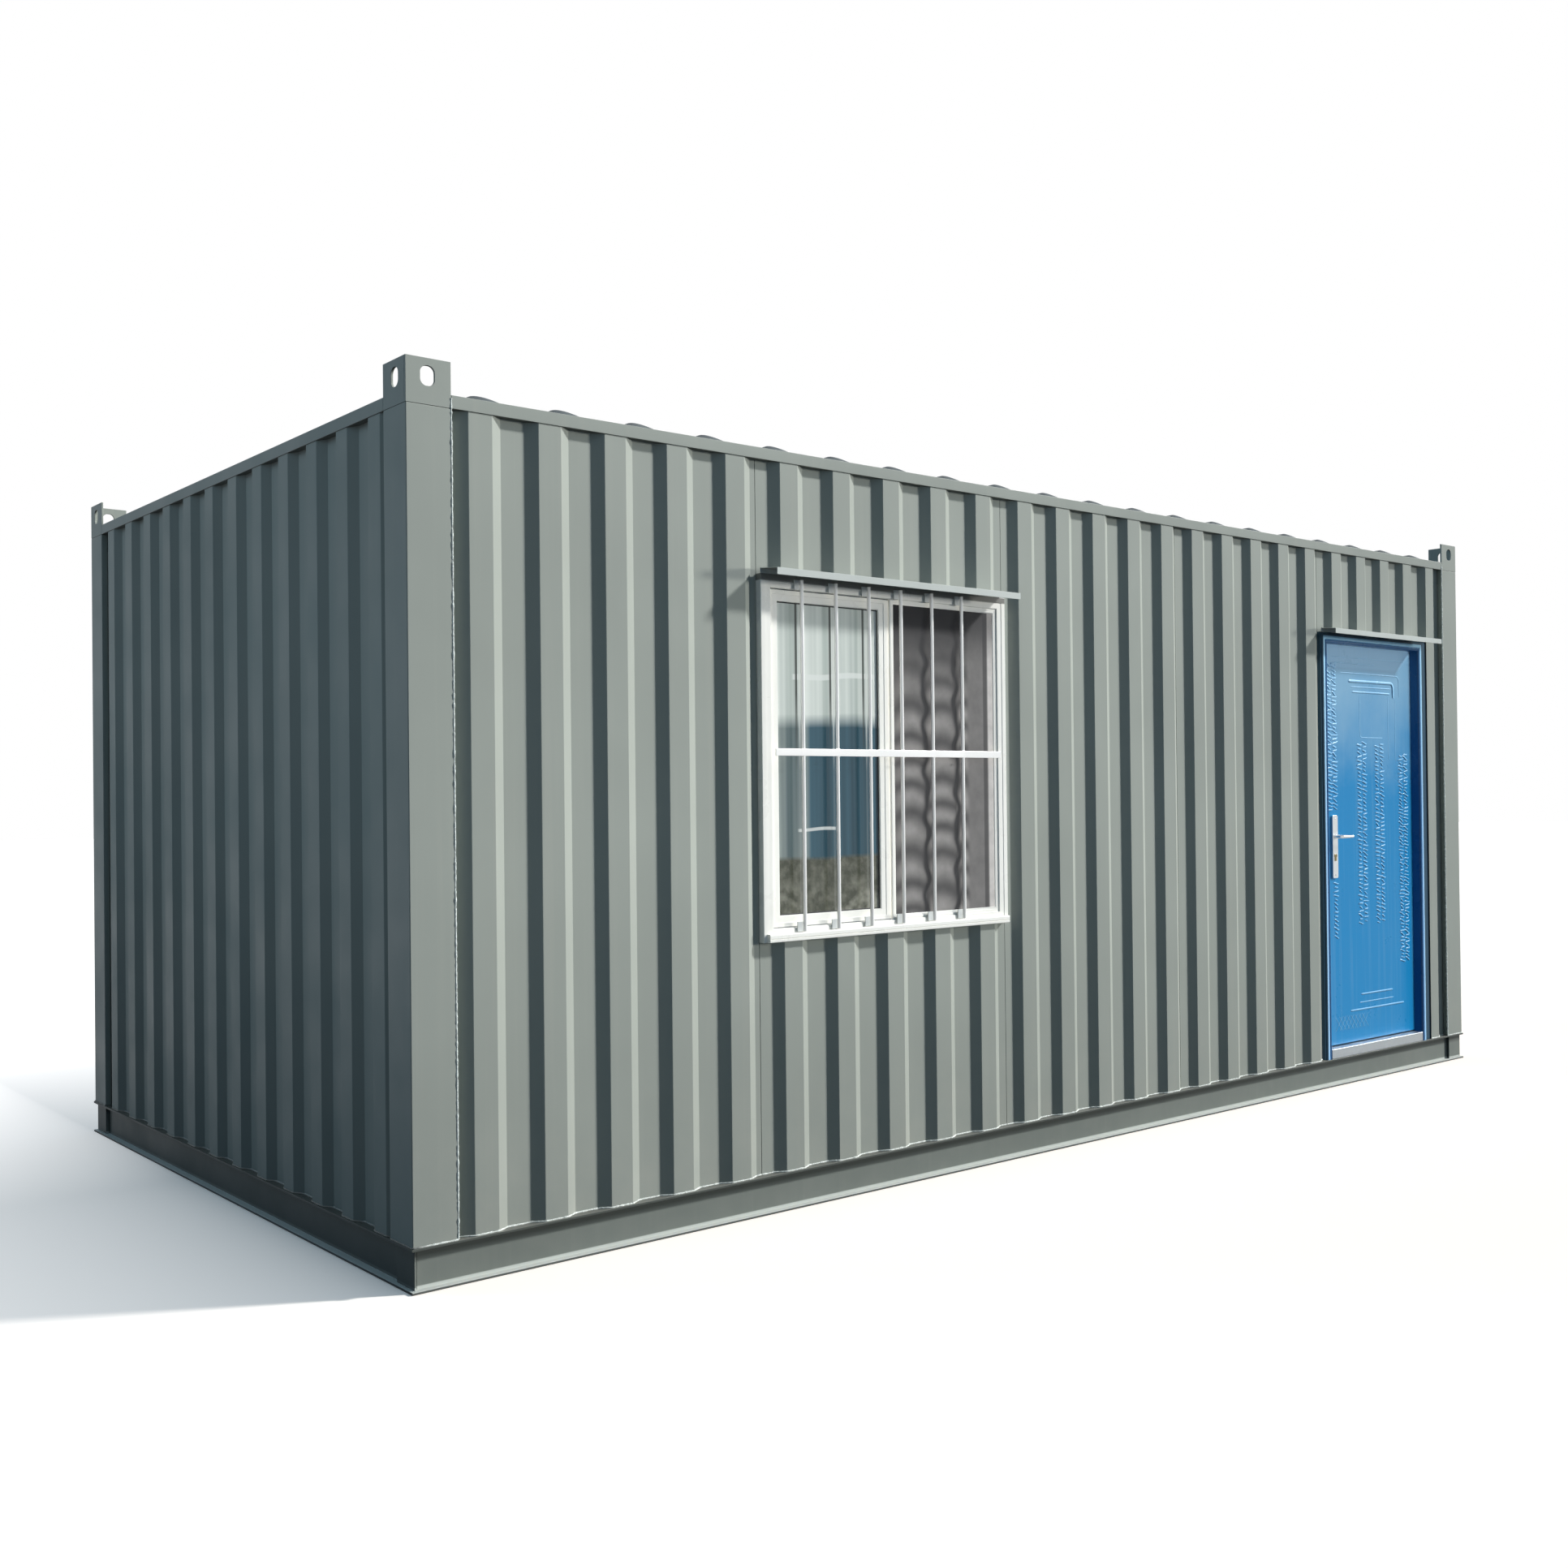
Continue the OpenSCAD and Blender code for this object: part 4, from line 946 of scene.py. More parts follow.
# %% Round the edges of a copy
def merged_copy(node):
    """A working copy of a frame solid, merged, and freed of the lines across its flat faces."""
    work = bmesh.new()
    work.from_mesh(nodes[node].data)
    bmesh.ops.remove_doubles(work, verts=work.verts, dist=MERGE)
    bmesh.ops.dissolve_limit(work, angle_limit=math.radians(1), verts=work.verts, edges=work.edges)
    return work


def round_edges(work, edges, radius, segments):
    bmesh.ops.bevel(work, geom=edges, offset=radius, segments=segments, profile=0.5, affect="EDGES",
                    clamp_overlap=True)


def edges_over(work, angle):
    """The edges where two faces meet at more than this many degrees."""
    return [e for e in work.edges if e.is_manifold and e.calc_face_angle() > math.radians(angle)]


def soften(node, radius, material, body="cabin"):
    work = merged_copy(node)
    round_edges(work, edges_over(work, 30), radius, 2)
    bmesh.ops.recalc_face_normals(work, faces=work.faces)
    piece = shade(object_from(work, node + "_rounded"), 40)
    return hand_over(piece, body, material, [node])


STEEL_EDGES = (                        # edge radius in millimetres, the paint, and the pieces
    (1.5, GREY_RAIL_DIRT_AND_SHADE, ("front_bottom_rail", "back_bottom_rail", "end_bottom_rails", "corner_feet")),
    (3.0, GREY_THICK, ("corner_posts_front", "corner_posts_back")),
    (1.5, GREY_THICK, ("lifting_plates_front_back", "lifting_plates_ends")),
    (2.5, GREY_THICK, ("front_top_rail", "back_top_rail", "end_top_rails")),
    (0.7, GREY_HOOD_CLEAN_AND_LIT, ("window_hood", "door_hood")))
for radius, finish, pieces in STEEL_EDGES:
    for node in pieces:
        soften(node, radius * MM, finish)
soften("door_threshold", 2.5 * MM, SILL)
soften("door_hinges", 0.6 * MM, ZINC)
soften("door_hinge_leaves", 0.6 * MM, ZINC, "door")
print("edges rounded on", sum(len(row[2]) for row in STEEL_EDGES) + 3, "nodes")

# %% [markdown]
# ## The roof
# The roof sheet has long low mounds pressed across it, so that water runs off. In the frame they
# are true arcs already, so the sheet only needs its arcs shaded smooth and its paint.


# %% Shade the roof
roof = new_object("roof_sheet_smooth", nodes["roof_sheet"].data.copy())
point_outwards(roof)
hand_over(shade(roof, 20), "cabin", ROOF_PAINT_SHADED, ["roof_sheet"])
print("roof:", len(roof.data.polygons), "faces")

# %% [markdown]
# ## Weld beads
# The sheets stand on the base rail and are welded along the foot, and the posts are welded to
# them down both sides. A bead is a row of small frozen waves, so it is a path cut into short
# steps, where every step is a little fatter or thinner and off line. Geometry Nodes does that with
# two noises: one moves the points of the path, the other scales the round profile.


# %% The weld tree
def noise_at(tree, scale, seed):
    place = wire(tree, "GeometryNodeInputPosition").outputs[0]
    inputs = {"Vector": place, "W": seed, "Scale": scale, "Detail": 1.0}
    return wire(tree, "ShaderNodeTexNoise", inputs, noise_dimensions="4D")


def weld_tree():
    """Sway moves the points of the path off line, and swell makes the bead thick or thin."""
    tree, given, close = geometry_tree("weld_bead", Bead_Radius=4 * MM, Step=6 * MM, Unevenness=0.5, Seed=3)
    steps = cut_to_steps(tree, as_curve(tree, given), given["Step"])
    wander = noise_at(tree, 60.0, given["Seed"]).outputs["Color"]
    sway = wire(tree, "ShaderNodeVectorMath", {0: wander, 1: (0.5, 0.5, 0.5)}, operation="SUBTRACT")
    reach = reckon(tree, "MULTIPLY", given["Bead_Radius"], given["Unevenness"])
    offset = wire(tree, "ShaderNodeVectorMath", {0: sway.outputs[0], "Scale": reach}, operation="SCALE")
    moved = wire(tree, "GeometryNodeSetPosition", {"Geometry": steps, "Offset": offset.outputs[0]})
    swell = ramp(tree, noise_at(tree, 130.0, given["Seed"]).outputs["Fac"], 0.3, 0.7, 0.55, 1.35)
    return close(sweep_round(tree, moved.outputs[0], given["Bead_Radius"], 6, swell))


WELD_TREE = weld_tree()
print(WELD_TREE.name, "has", len(WELD_TREE.nodes), "nodes")


# %% Lay a weld
def weld(name, paths, radius, seed, material, step=6 * MM, unevenness=0.5):
    bead = grow(name, paths_mesh(name, paths), WELD_TREE, material, Bead_Radius=radius, Step=step,
                Unevenness=unevenness, Seed=seed)
    point_outwards(bead)
    bead.data.shade_smooth()
    return hand_over(bead, "cabin")


print("beads can be laid")


# %% Weld the feet of the walls
FOOT_BEAD = 3.2 * MM
CORNER = post_high.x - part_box("front_sheet_beside_door")[1].x      # width of a corner post's face
BACK_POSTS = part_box("corner_posts_back")[1].y
POSTS = [(x, side, y, way) for x, side in ((post_low.x, 1), (post_high.x, -1))
         for y, way in ((post_low.y, 1), (BACK_POSTS, -1))]      # a corner, and the ways into the walls
standing = [n for n in SHEETS if abs(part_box(n)[0].z - BASE_TOP) < MM]
foot_paths = [[Vector(c) + Vector((0, 0, 0.6 * FOOT_BEAD)) for c in outer_folds(n, SHEETS[n])]
              for n in standing]
for x, side, y, way in POSTS:          # from one sheet, round the corner of the post, to the other
    z = BASE_TOP + 0.5 * FOOT_BEAD
    foot_paths.append([(x + side * CORNER, y, z), (x, y, z), (x, y + way * CORNER, z)])
feet = weld("weld_wall_feet", foot_paths, FOOT_BEAD, 5, WELD)
print("beads at the feet:", len(feet.data.polygons), "faces")

# %% Weld the posts to the front and back sheets
POST_BEAD = 3.6 * MM
POST_INSET = 1.5 * MM                  # the bead lies this far behind the post's face
bead_foot, bead_head = BASE_TOP + 2 * MM, post_high.z + 30 * MM
side_paths = [[(x + side * CORNER, y + way * POST_INSET, z) for z in (bead_foot, bead_head)]
              for x, side, y, way in POSTS]
sides = weld("weld_post_sides", side_paths, POST_BEAD, 11, WELD_PALE, 6 * MM, 0.4)
print("beads on the posts:", len(sides.data.polygons), "faces")

# %% [markdown]
# ## Joints between sheets
# Neighbouring sheets do not touch: a thin gap is left between them and filled from behind with a
# dark sealant. It reads as a fine dark line from the rail to the base.


# %% Sealant behind the joints
STRIP_HALF, STRIP_DEPTH, STRIP_BITE = 9 * MM, 1.5 * MM, 0.3 * MM      # half its width, and into the sheet
LEAST_JOINT = 50 * MM


def boxes(name, pairs, bevel=0.0):
    """One mesh of separate boxes, each given by its low and its high corner."""
    work = bmesh.new()
    for low, high in pairs:
        middle = [(a + b) / 2 for a, b in zip(low, high)]
        size = [b - a for a, b in zip(low, high)]
        bmesh.ops.create_cube(work, size=1, matrix=Matrix.Translation(middle) @ Matrix.Diagonal((*size, 1)))
    if bevel:
        round_edges(work, list(work.edges), bevel, 2)
    return shade(object_from(work, name), 40)


def joint_strips():
    """A strip behind every edge that two front sheets share."""
    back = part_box("front_sheet_left")[1].y
    for one, other in itertools.product(FRONT_SHEETS, repeat=2):
        (low, high), (low2, high2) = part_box(one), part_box(other)
        bottom, top = max(low.z, low2.z), min(high.z, high2.z)
        if abs(high.x - low2.x) < MM and top - bottom > LEAST_JOINT:
            yield ((high.x - STRIP_HALF, back - STRIP_BITE, bottom + MM),
                   (high.x + STRIP_HALF, back + STRIP_DEPTH, top - MM))


strips = list(joint_strips())
hand_over(boxes("joint_sealant", strips), "cabin", SEALANT)
print(len(strips), "sheet joints sealed")

# %% [markdown]
# ## Door frame
# The frame is one profile that runs up the lock side, over the head and down the hinge side, mitred at the
# corners: a rounded nose with a groove beside it, a flat face, and a thin flange against the wall. So the
# profile is drawn once, as a list of points that are so far out from the opening and so far back from the
# front, and a loft sets it out on all three sides. A band of the face next to the nose is painted pale, a
# painted highlight, and the flange and the strip next to it are painted darker, so those faces take other
# paints.

# %% The profile of the frame
STOP = 10 * MM                         # how far the frame laps over the edge of the leaf
NOSE = 44 * MM                         # width of the frame's face
STEP_BACK = 8 * MM                     # the flange lies this far behind the face
GAP = 5 * MM                           # between the leaf and the frame
HIGHLIGHT_BAND = (16 * MM, 33 * MM)             # the band of the face that carries a painted highlight
frame_low, frame_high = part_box("door_frame")
OPENING = (sill_low.x, sill_high.x, leaf_high.z - STOP)


def arc(centre, radius, start, end, steps=5):
    """Points round a bend, from one angle to another, in degrees."""
    turns = [math.radians(start + (end - start) * i / steps) for i in range(steps + 1)]
    return [(centre[0] + radius * math.cos(a), centre[1] + radius * math.sin(a)) for a in turns]


def door_profile():
    """(out from the opening, back from the face), once round the section."""
    depth = frame_high.y - frame_low.y
    rebate = leaf_low.y - frame_low.y - GAP
    nose = arc((9 * MM, 9 * MM), 9 * MM, 180, 270) + arc((12 * MM, 4 * MM), 4 * MM, 270, 350, 4)
    groove = [(17 * MM, 4 * MM), (18.5 * MM, 1.5 * MM), (20 * MM, 0.6 * MM)]
    face = [(HIGHLIGHT_BAND[1], 0.6 * MM)] + arc((NOSE - 6 * MM, 6.6 * MM), 6 * MM, 270, 360)
    flange = [(NOSE, STEP_BACK), ("edge", STEP_BACK), ("edge", depth)]
    return [(STOP + GAP, depth), (STOP + GAP, rebate), (0, rebate)] + nose + groove + face + flange


print("door frame's section has", len(door_profile()), "corners")


# %% Set it out on three sides, and paint it
def three_sides(name, profile, opening, foot):
    """Sets a profile out up one side, over the head and down the other side."""
    left, right, head = opening
    to_edge = (left - frame_low.x, frame_high.z - head, frame_high.x - right)
    rings = []
    for out, back in profile:
        a, b, c = (edge if out == "edge" else min(out, edge) for edge in to_edge)
        y = frame_low.y + back
        up = [(left - a, y, foot), (left - a, y, head + b)]
        rings.append(up + [(right + c, y, head + b), (right + c, y, foot)])
    return shade(loft(name, list(zip(*rings))), 30)


door_frame = three_sides("door_frame_pressed", door_profile(), OPENING, frame_low.z)
hand_over(door_frame, "cabin", BLUE_EDGE, ["door_frame"])
door_frame.visible_shadow = False      # the yard throws light round it, so it leaves no shade on the leaf
door_frame.data.materials.append(BLUE_DARK)
door_frame.data.materials.append(BLUE_ROUND_HIGHLIGHT)
PAINTED_DARKER, PAINTED_HIGHLIGHT = 1, 2                # places in the frame's list of paints
# a band of the face gets a painted highlight, and the flange and the strip beside it are painted darker
for face in door_frame.data.polygons:
    beyond = max(OPENING[0] - face.center.x, face.center.x - OPENING[1], face.center.z - OPENING[2])
    back = face.center.y - frame_low.y
    on_flange = back > STEP_BACK - 0.1 * MM and beyond > STOP
    if on_flange or beyond > HIGHLIGHT_BAND[1]:
        face.material_index = PAINTED_DARKER
    elif back < STEP_BACK and beyond > HIGHLIGHT_BAND[0]:
        face.material_index = PAINTED_HIGHLIGHT
print("door frame:", len(door_frame.data.polygons), "faces")

# %% [markdown]
# ## Door leaf
# The leaf is two steel skins on a core. The front skin is pressed with rounded ridges at the top
# and the foot, faint panel lines, and columns of short hammered strokes. Each ridge is a path
# with round corners, swept with a round section that thins out at both ends and is then flattened.
# A modelled ridge catches the light on its own edge, which a bump map can't do at a low angle. The
# strokes repeat by a rule, so a tree lays them up each column, and a seed gives each its own tilt
# and size.


# %% Sweep a low ridge
def thinning(tree, sharpness):
    """1 along most of a path, and down to nothing at its two ends."""
    along = wire(tree, "GeometryNodeSplineParameter").outputs["Factor"]
    centred = reckon(tree, "MULTIPLY_ADD", along, 2.0, -1.0)
    power = reckon(tree, "POWER", reckon(tree, "ABSOLUTE", centred), sharpness)
    return reckon(tree, "POWER", reckon(tree, "SUBTRACT", 1.02, power), 0.5)


def swept_low(tree, path, given, sharpness):
    """Sweeps a round section along a path, then flattens it in Y to a low ridge."""
    radius = reckon(tree, "MULTIPLY", given["Width"], 0.5)
    body = sweep_round(tree, path, radius, 6, thinning(tree, sharpness))
    scale = vector(tree, X=1.0, Y=reckon(tree, "DIVIDE", given["Height"], radius), Z=1.0)
    return wire(tree, "GeometryNodeTransform", {"Geometry": body, "Scale": scale}).outputs[0]


def ridge_tree():
    tree, given, close = geometry_tree("pressed_ridge", Width=10 * MM, Height=2 * MM, Corner=20 * MM)
    rounded = round_corners(tree, as_curve(tree, given), given["Corner"], 5)
    return close(swept_low(tree, cut_to_steps(tree, rounded, 8 * MM), given, 40.0))


RIDGES = ridge_tree()
print(RIDGES.name, "has", len(RIDGES.nodes), "nodes")

# %% The tree of strokes
STROKE_BENDS = ((-1, 0, 0), (-0.4, 0, 0.28), (0.4, 0, -0.28), (1, 0, 0))      # a soft S, in half lengths
STROKE_LEAST, STROKE_MOST = (0.45, 1.0, 0.8), (1.0, 1.0, 1.25)                 # scale along X, Y and Z


def one_stroke(tree, given):
    half = reckon(tree, "MULTIPLY", given["Length"], 0.5)
    start, leaving, arriving, end = (
        wire(tree, "ShaderNodeVectorMath", {0: bend, "Scale": half}, operation="SCALE").outputs[0]
        for bend in STROKE_BENDS)
    wave = wire(tree, "GeometryNodeCurvePrimitiveBezierSegment", {
        "Resolution": 12, "Start": start, "Start Handle": leaving, "End Handle": arriving, "End": end})
    even = wire(tree, "GeometryNodeResampleCurve", {"Curve": wave.outputs[0], "Count": 7}).outputs[0]
    return swept_low(tree, even, given, 4.0)


def stroke_tree():
    """Lays strokes upward from each point, one above the other."""
    tree, given, close = geometry_tree("pressed_strokes", Count=30, Pitch=22 * MM, Length=80 * MM,
                                       Width=7 * MM, Height=1.4 * MM, Tilt=0.25, Seed=1)
    row = row_of_points(tree, given["Count"], vector(tree, Z=given["Pitch"]))
    laid = lay_on(tree, given["Geometry"], row)
    points = wire(tree, "GeometryNodeRealizeInstances", {0: laid}).outputs[0]
    stroke = one_stroke(tree, given)
    tilt_back = reckon(tree, "MULTIPLY", given["Tilt"], -1.0)
    lean = wire(tree, "FunctionNodeRandomValue", {2: tilt_back, 3: given["Tilt"], "Seed": given["Seed"]},
                data_type="FLOAT").outputs[1]
    size = wire(tree, "FunctionNodeRandomValue", {0: STROKE_LEAST, 1: STROKE_MOST, "Seed": given["Seed"]},
                data_type="FLOAT_VECTOR").outputs[0]
    return close(lay_on(tree, points, stroke, Rotation=vector(tree, Y=lean), Scale=size))


STROKES = stroke_tree()
print(STROKES.name, "has", len(STROKES.nodes), "nodes")


# %% Press into the leaf
def on_leaf(across, up):
    """A place in the plane of the leaf, in millimetres from its lower left corner."""
    return (leaf_low.x + across * MM, 0.0, leaf_low.z + up * MM)


def press(name, tree, paths, **values):
    """Shapes ridges or columns in the plane y = 0, where they are flattened, then sets them on the leaf."""
    lines = paths_mesh(name, [[on_leaf(*place) for place in path] for path in paths])
    # ridges and strokes take the paler paint, a painted highlight
    piece = grow(name, lines, tree, BLUE_RAISED_HIGHLIGHT, **values)
    piece.data.transform(Matrix.Translation((0, leaf_low.y, 0)))
    point_outwards(piece)
    piece.data.shade_smooth()
    return hand_over(piece, "door")


# %% Press the ridges
BOLD = [[(268, 1766), (684, 1766), (684, 1690)]]
CLEAR = [[(302, 1713), (656, 1713)], [(352, 226), (649, 226)], [(256, 152), (756, 152)]]
FAINT = [[(199, 1804), (743, 1804), (743, 1700)], [(150, 1740), (150, 1852), (520, 1852)],
         [(341, 186), (656, 186)], [(290, 1738), (664, 1738)]]
PANEL = [[(371, 1705), (371, 1489), (583, 1489)], [(636, 1700), (636, 1380)], [(703, 1700), (703, 1370)],
         [(120, 1880), (800, 1880)]]
for name, paths, width, height, corner in (
        ("door_ridges_bold", BOLD, 17, 3.0, 24), ("door_ridges_clear", CLEAR, 10, 2.4, 15),
        ("door_ridges_faint", FAINT, 6, 1.2, 30), ("door_panel_lines", PANEL, 5, 0.7, 20)):
    press(name, RIDGES, paths, Width=width * MM, Height=height * MM, Corner=corner * MM)
    print(name, "from", len(paths), "paths")

# %% Press the strokes and the lattice
COLUMNS = {                            # middle, foot, rows abreast, strokes in a row, pitch, length
    "edge_upper": (116, 1135, 2, 39, 18.5, 70), "edge_lower": (140, 520, 1, 14, 20.0, 60),
    "middle_left": (384, 575, 2, 46, 19.5, 58), "middle_right": (546, 570, 2, 46, 19.5, 58),
    "hinge": (771, 362, 2, 62, 17.0, 62)}
ROW_GAP = 46                           # millimetres from row to row, like all the sizes in the table
LATTICE_PITCH, LATTICE_FOOT, LATTICE_HEAD, LATTICE_BARS = 34, 62, 134, 8
for seed, (name, (middle, foot, rows, count, pitch, length)) in enumerate(COLUMNS.items()):
    feet = [[(middle + (k - (rows - 1) / 2) * ROW_GAP, foot + pitch / 2 * (k % 2))] for k in range(rows)]
    press("door_strokes_" + name, STROKES, feet, Count=count, Pitch=pitch * MM,
          Length=length * MM, Width=9.0 * MM, Height=2.6 * MM, Tilt=0.36, Seed=seed + 2)
lattice = [[(start + LATTICE_PITCH * i, LATTICE_FOOT), (end + LATTICE_PITCH * i, LATTICE_HEAD)]
           for start, end in ((120, 180), (180, 120)) for i in range(LATTICE_BARS)]
press("door_lattice", RIDGES, lattice, Width=4 * MM, Height=0.8 * MM, Corner=1 * MM)
print(len(COLUMNS), "columns of strokes, and a lattice of", len(lattice), "bars")

# %% [markdown]
# ### Edges of the leaf and the plates
# The leaf's long edges are folded, with a radius of about two millimetres. The handle plates are
# cut from thicker stock: their corners are rounded first, and then the rim. The edges of the
# bores lie away from the outline, so they are told apart by that and stay as they are.

# %% Round only the outline
CLOSE_BY = 0.1 * MM


def rounded_block(node, radius, corner_radius, material):
    """Rounds a pierced block on the door: the corners of its outline, then the edges of its rim."""
    work = merged_copy(node)
    low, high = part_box(node)

    def near_side(corner, axis, reach):
        return min(abs(corner.co[axis] - low[axis]), abs(corner.co[axis] - high[axis])) < reach

    if corner_radius:
        through = [e for e in work.edges if abs((e.verts[1].co - e.verts[0].co).y) > 0.999 * e.calc_length()]
        at_corner = [e for e in through if all(near_side(v, a, CLOSE_BY) for v in e.verts for a in (0, 2))]
        round_edges(work, at_corner, corner_radius, 5)
    reach = corner_radius + CLOSE_BY
    on_rim = [e for e in edges_over(work, 60)
              if all(near_side(v, 0, reach) or near_side(v, 2, reach) for v in e.verts)]
    round_edges(work, on_rim, radius, 3)
    return hand_over(shade(object_from(work, node + "_rounded"), 35), "door", material, [node])


rounded_block("door_leaf", 2.0 * MM, 0, BLUE)
rounded_block("handle_plates", 1.6 * MM, 9 * MM, HANDLE)
soften("key_cylinder", 0.6 * MM, BRASS, "door")
print("leaf, plates and cylinder rounded")

# %% [markdown]
# ## Lever, screws and keyway
# The lever is a round bar, bent once and thinned toward a round tip. It is made by setting rings
# along a path, each square to the path and with its own radius. The same tool makes the domed
# screw heads. There are two levers, one on each face of the door, and they turn as one.


# %% A tube along a path
def tube(name, path, radii, sides=20):
    """Rings along a path, joined up, with closed ends."""
    path = [Vector(p) for p in path]
    last = len(path) - 1
    aside = (path[1] - path[0]).normalized().orthogonal().normalized()
    rings = []
    for i, (place, radius) in enumerate(zip(path, radii)):
        forward = (path[min(i + 1, last)] - path[max(i - 1, 0)]).normalized()
        aside = (aside - forward * aside.dot(forward)).normalized()
        upright = forward.cross(aside)
        turns = [2 * math.pi * k / sides for k in range(sides)]
        rings.append([place + radius * (math.cos(a) * aside + math.sin(a) * upright) for a in turns])
    return loft(name, rings)


print("tubes can be made")

# %% The lever's path
lever_low, lever_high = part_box("door_lever")
plate_low, plate_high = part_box("handle_plates")
spindle_x = lever_low.x + (lever_high.z - lever_low.z) / 2
spindle_z = (lever_low.z + lever_high.z) / 2
NECK, GRIP, TIP = 9 * MM, 8 * MM, 6.5 * MM      # radii
BEND_OUT = 16 * MM
NECK_LENGTH, NECK_STEP = 62 * MM, 12 * MM
NECK_RINGS, BEND_STEPS = 4, 6
ALONG_GRIP = (0.25, 0.5, 0.75, 0.90)   # places of the rings on the straight part
THINNING = (0.25, 0.5, 0.75, 0.95)     # how far each has thinned from the grip to the tip
TIP_TURNS = (30, 55, 75, 88)           # degrees round the ball of the tip


def lever_path(y_end, way):
    """Out from the door, round a bend, and along to the tip. way is -1 in front and 1 behind."""
    reach = lever_high.x - spindle_x
    path = [(spindle_x, y_end - way * (NECK_LENGTH - i * NECK_STEP), spindle_z) for i in range(NECK_RINGS)]
    for i in range(BEND_STEPS + 1):
        a = math.radians(90 * i / BEND_STEPS)
        across, out = BEND_OUT * (1 - math.cos(a)), BEND_OUT * (1 - math.sin(a))
        path.append((spindle_x + across, y_end - way * out, spindle_z))
    path += [(spindle_x + BEND_OUT + (reach - BEND_OUT) * t, y_end, spindle_z) for t in ALONG_GRIP]
    ball = [TIP * (1 - math.sin(math.radians(turn))) for turn in TIP_TURNS]
    return path + [(spindle_x + reach - short, y_end, spindle_z) for short in ball]


def lever_radii():
    body = [NECK] * NECK_RINGS + [NECK + (GRIP - NECK) * i / BEND_STEPS for i in range(BEND_STEPS + 1)]
    thin = [GRIP + (TIP - GRIP) * t for t in THINNING]
    return body + thin + [TIP * math.cos(math.radians(turn)) for turn in TIP_TURNS]


print("lever turns about x =", round(spindle_x, 3), "z =", round(spindle_z, 3))

# %% Bend the levers
levers = []
for y_end, way in ((lever_low.y + NECK, -1), (lever_high.y - NECK, 1)):
    lever = tube("lever_front" if way < 0 else "lever_behind", lever_path(y_end, way), lever_radii())
    levers.append(shade(lever, 50))
hand_over(levers[0], "door_lever", HANDLE, ["door_lever"])
hand_over(levers[1], "door_lever", HANDLE)
print("levers:", [len(lever.data.polygons) for lever in levers], "faces")

# %% Screws and keyway
SCREW_DOME = ((-1.5, 4.5), (0.2, 4.5), (1.0, 3.8), (1.5, 2.4), (1.7, 0.8))      # height and radius, mm
SCREW_INSET = 16 * MM
KEYWAY_HALF, KEYWAY_DEPTH, KEYWAY_REACH = 1.2 * MM, 0.4 * MM, 5 * MM


def screws():
    """Two domed screws on each plate, near its ends."""
    middle = (plate_low.x + plate_high.x) / 2
    for z in (plate_low.z + SCREW_INSET, plate_high.z - SCREW_INSET):
        for face, way in ((plate_low.y, -1), (plate_high.y, 1)):
            path = [(middle, face + way * up * MM, z) for up, _ in SCREW_DOME]
            yield tube("plate_screw", path, [radius * MM for _, radius in SCREW_DOME], 14)


def joined(name, pieces):
    work = bmesh.new()
    for piece in pieces:
        work.from_mesh(piece.data)
        bpy.data.objects.remove(piece)
    return object_from(work, name)


hand_over(shade(joined("plate_screws", list(screws())), 50), "door", ZINC)
key_low, key_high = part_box("key_cylinder")
key_x, key_top = (key_low.x + key_high.x) / 2, key_high.z - (key_high.x - key_low.x) / 2
keyways = [tuple((key_x + s * KEYWAY_HALF, y + s * KEYWAY_DEPTH, key_top + s * KEYWAY_REACH) for s in (-1, 1))
           for y in (key_low.y, key_high.y)]
hand_over(boxes("keyways", keyways), "door", RUBBER)
print("screws and", len(keyways), "keyways made")

# %% [markdown]
# ## Window profiles
# Window frames and sashes are one extrusion, cut at 45 degrees and welded in the corners. So a
# profile with its steps and grooves is drawn once and set out round a rectangle. The steps are
# only a few millimetres, yet they draw the fine parallel lines that make a window look right.
# Each section is written as (outs, back): how far out it is on the left, at the foot, on the right
# and at the top, and how far back from the front.

# %% Set a profile out round a rectangle
sash_low, sash_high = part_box("window_sashes")
screen_low, screen_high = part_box("fly_screen_frame")
bar_low, bar_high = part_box("window_bars")
print("sashes lie from z =", round(sash_low.z, 3), "to", round(sash_high.z, 3))


def round_rectangle(name, opening, profile, front):
    left, right, bottom, top = opening
    rings = []
    for outs, back in profile:
        west, south, east, north = left - outs[0], bottom - outs[1], right + outs[2], top + outs[3]
        turn = ((west, south), (east, south), (east, north), (west, north))
        rings.append([(x, front + back, z) for x, z in turn])
    return shade(loft(name, list(zip(*rings)), closed=True), 30)


# %% The section of a profile
def stepped(width, depth, bead, groove, step, edge):
    """From the glass outwards. width is the profile's face on each of the four sides."""
    def from_glass(out, back):
        return [(out,) * 4, back]

    def from_rim(inset, back):
        return [tuple(w - inset for w in width), back]

    slope = [(0, depth), (0, bead), (1.5 * MM, 0.5 * bead), (4 * MM, step)]
    dip = [(groove - 2 * MM, step), (groove - 1 * MM, 0.2 * step), (groove, 0)]
    rim = [(edge, 0), (0.3 * edge, 0.3 * edge), (0, edge), (0, depth)]
    return [from_glass(*point) for point in slope + dip] + [from_rim(*point) for point in rim]


def opening_of(low, high, width):
    return (low.x + width[0], high.x - width[2], low.z + width[1], high.z - width[3])


def profile_ring(name, low, high, width, stands_for=(), bead=5 * MM, groove=26 * MM, step=1.6 * MM,
                 edge=2 * MM):
    section = stepped(width, high.y - low.y, bead, groove, step, edge)
    ring = round_rectangle(name, opening_of(low, high, width), section, low.y)
    return hand_over(ring, "cabin", PROFILE, stands_for)


print("a section has", len(stepped([0] * 4, 0, 0, 0, 0, 0)), "corners")

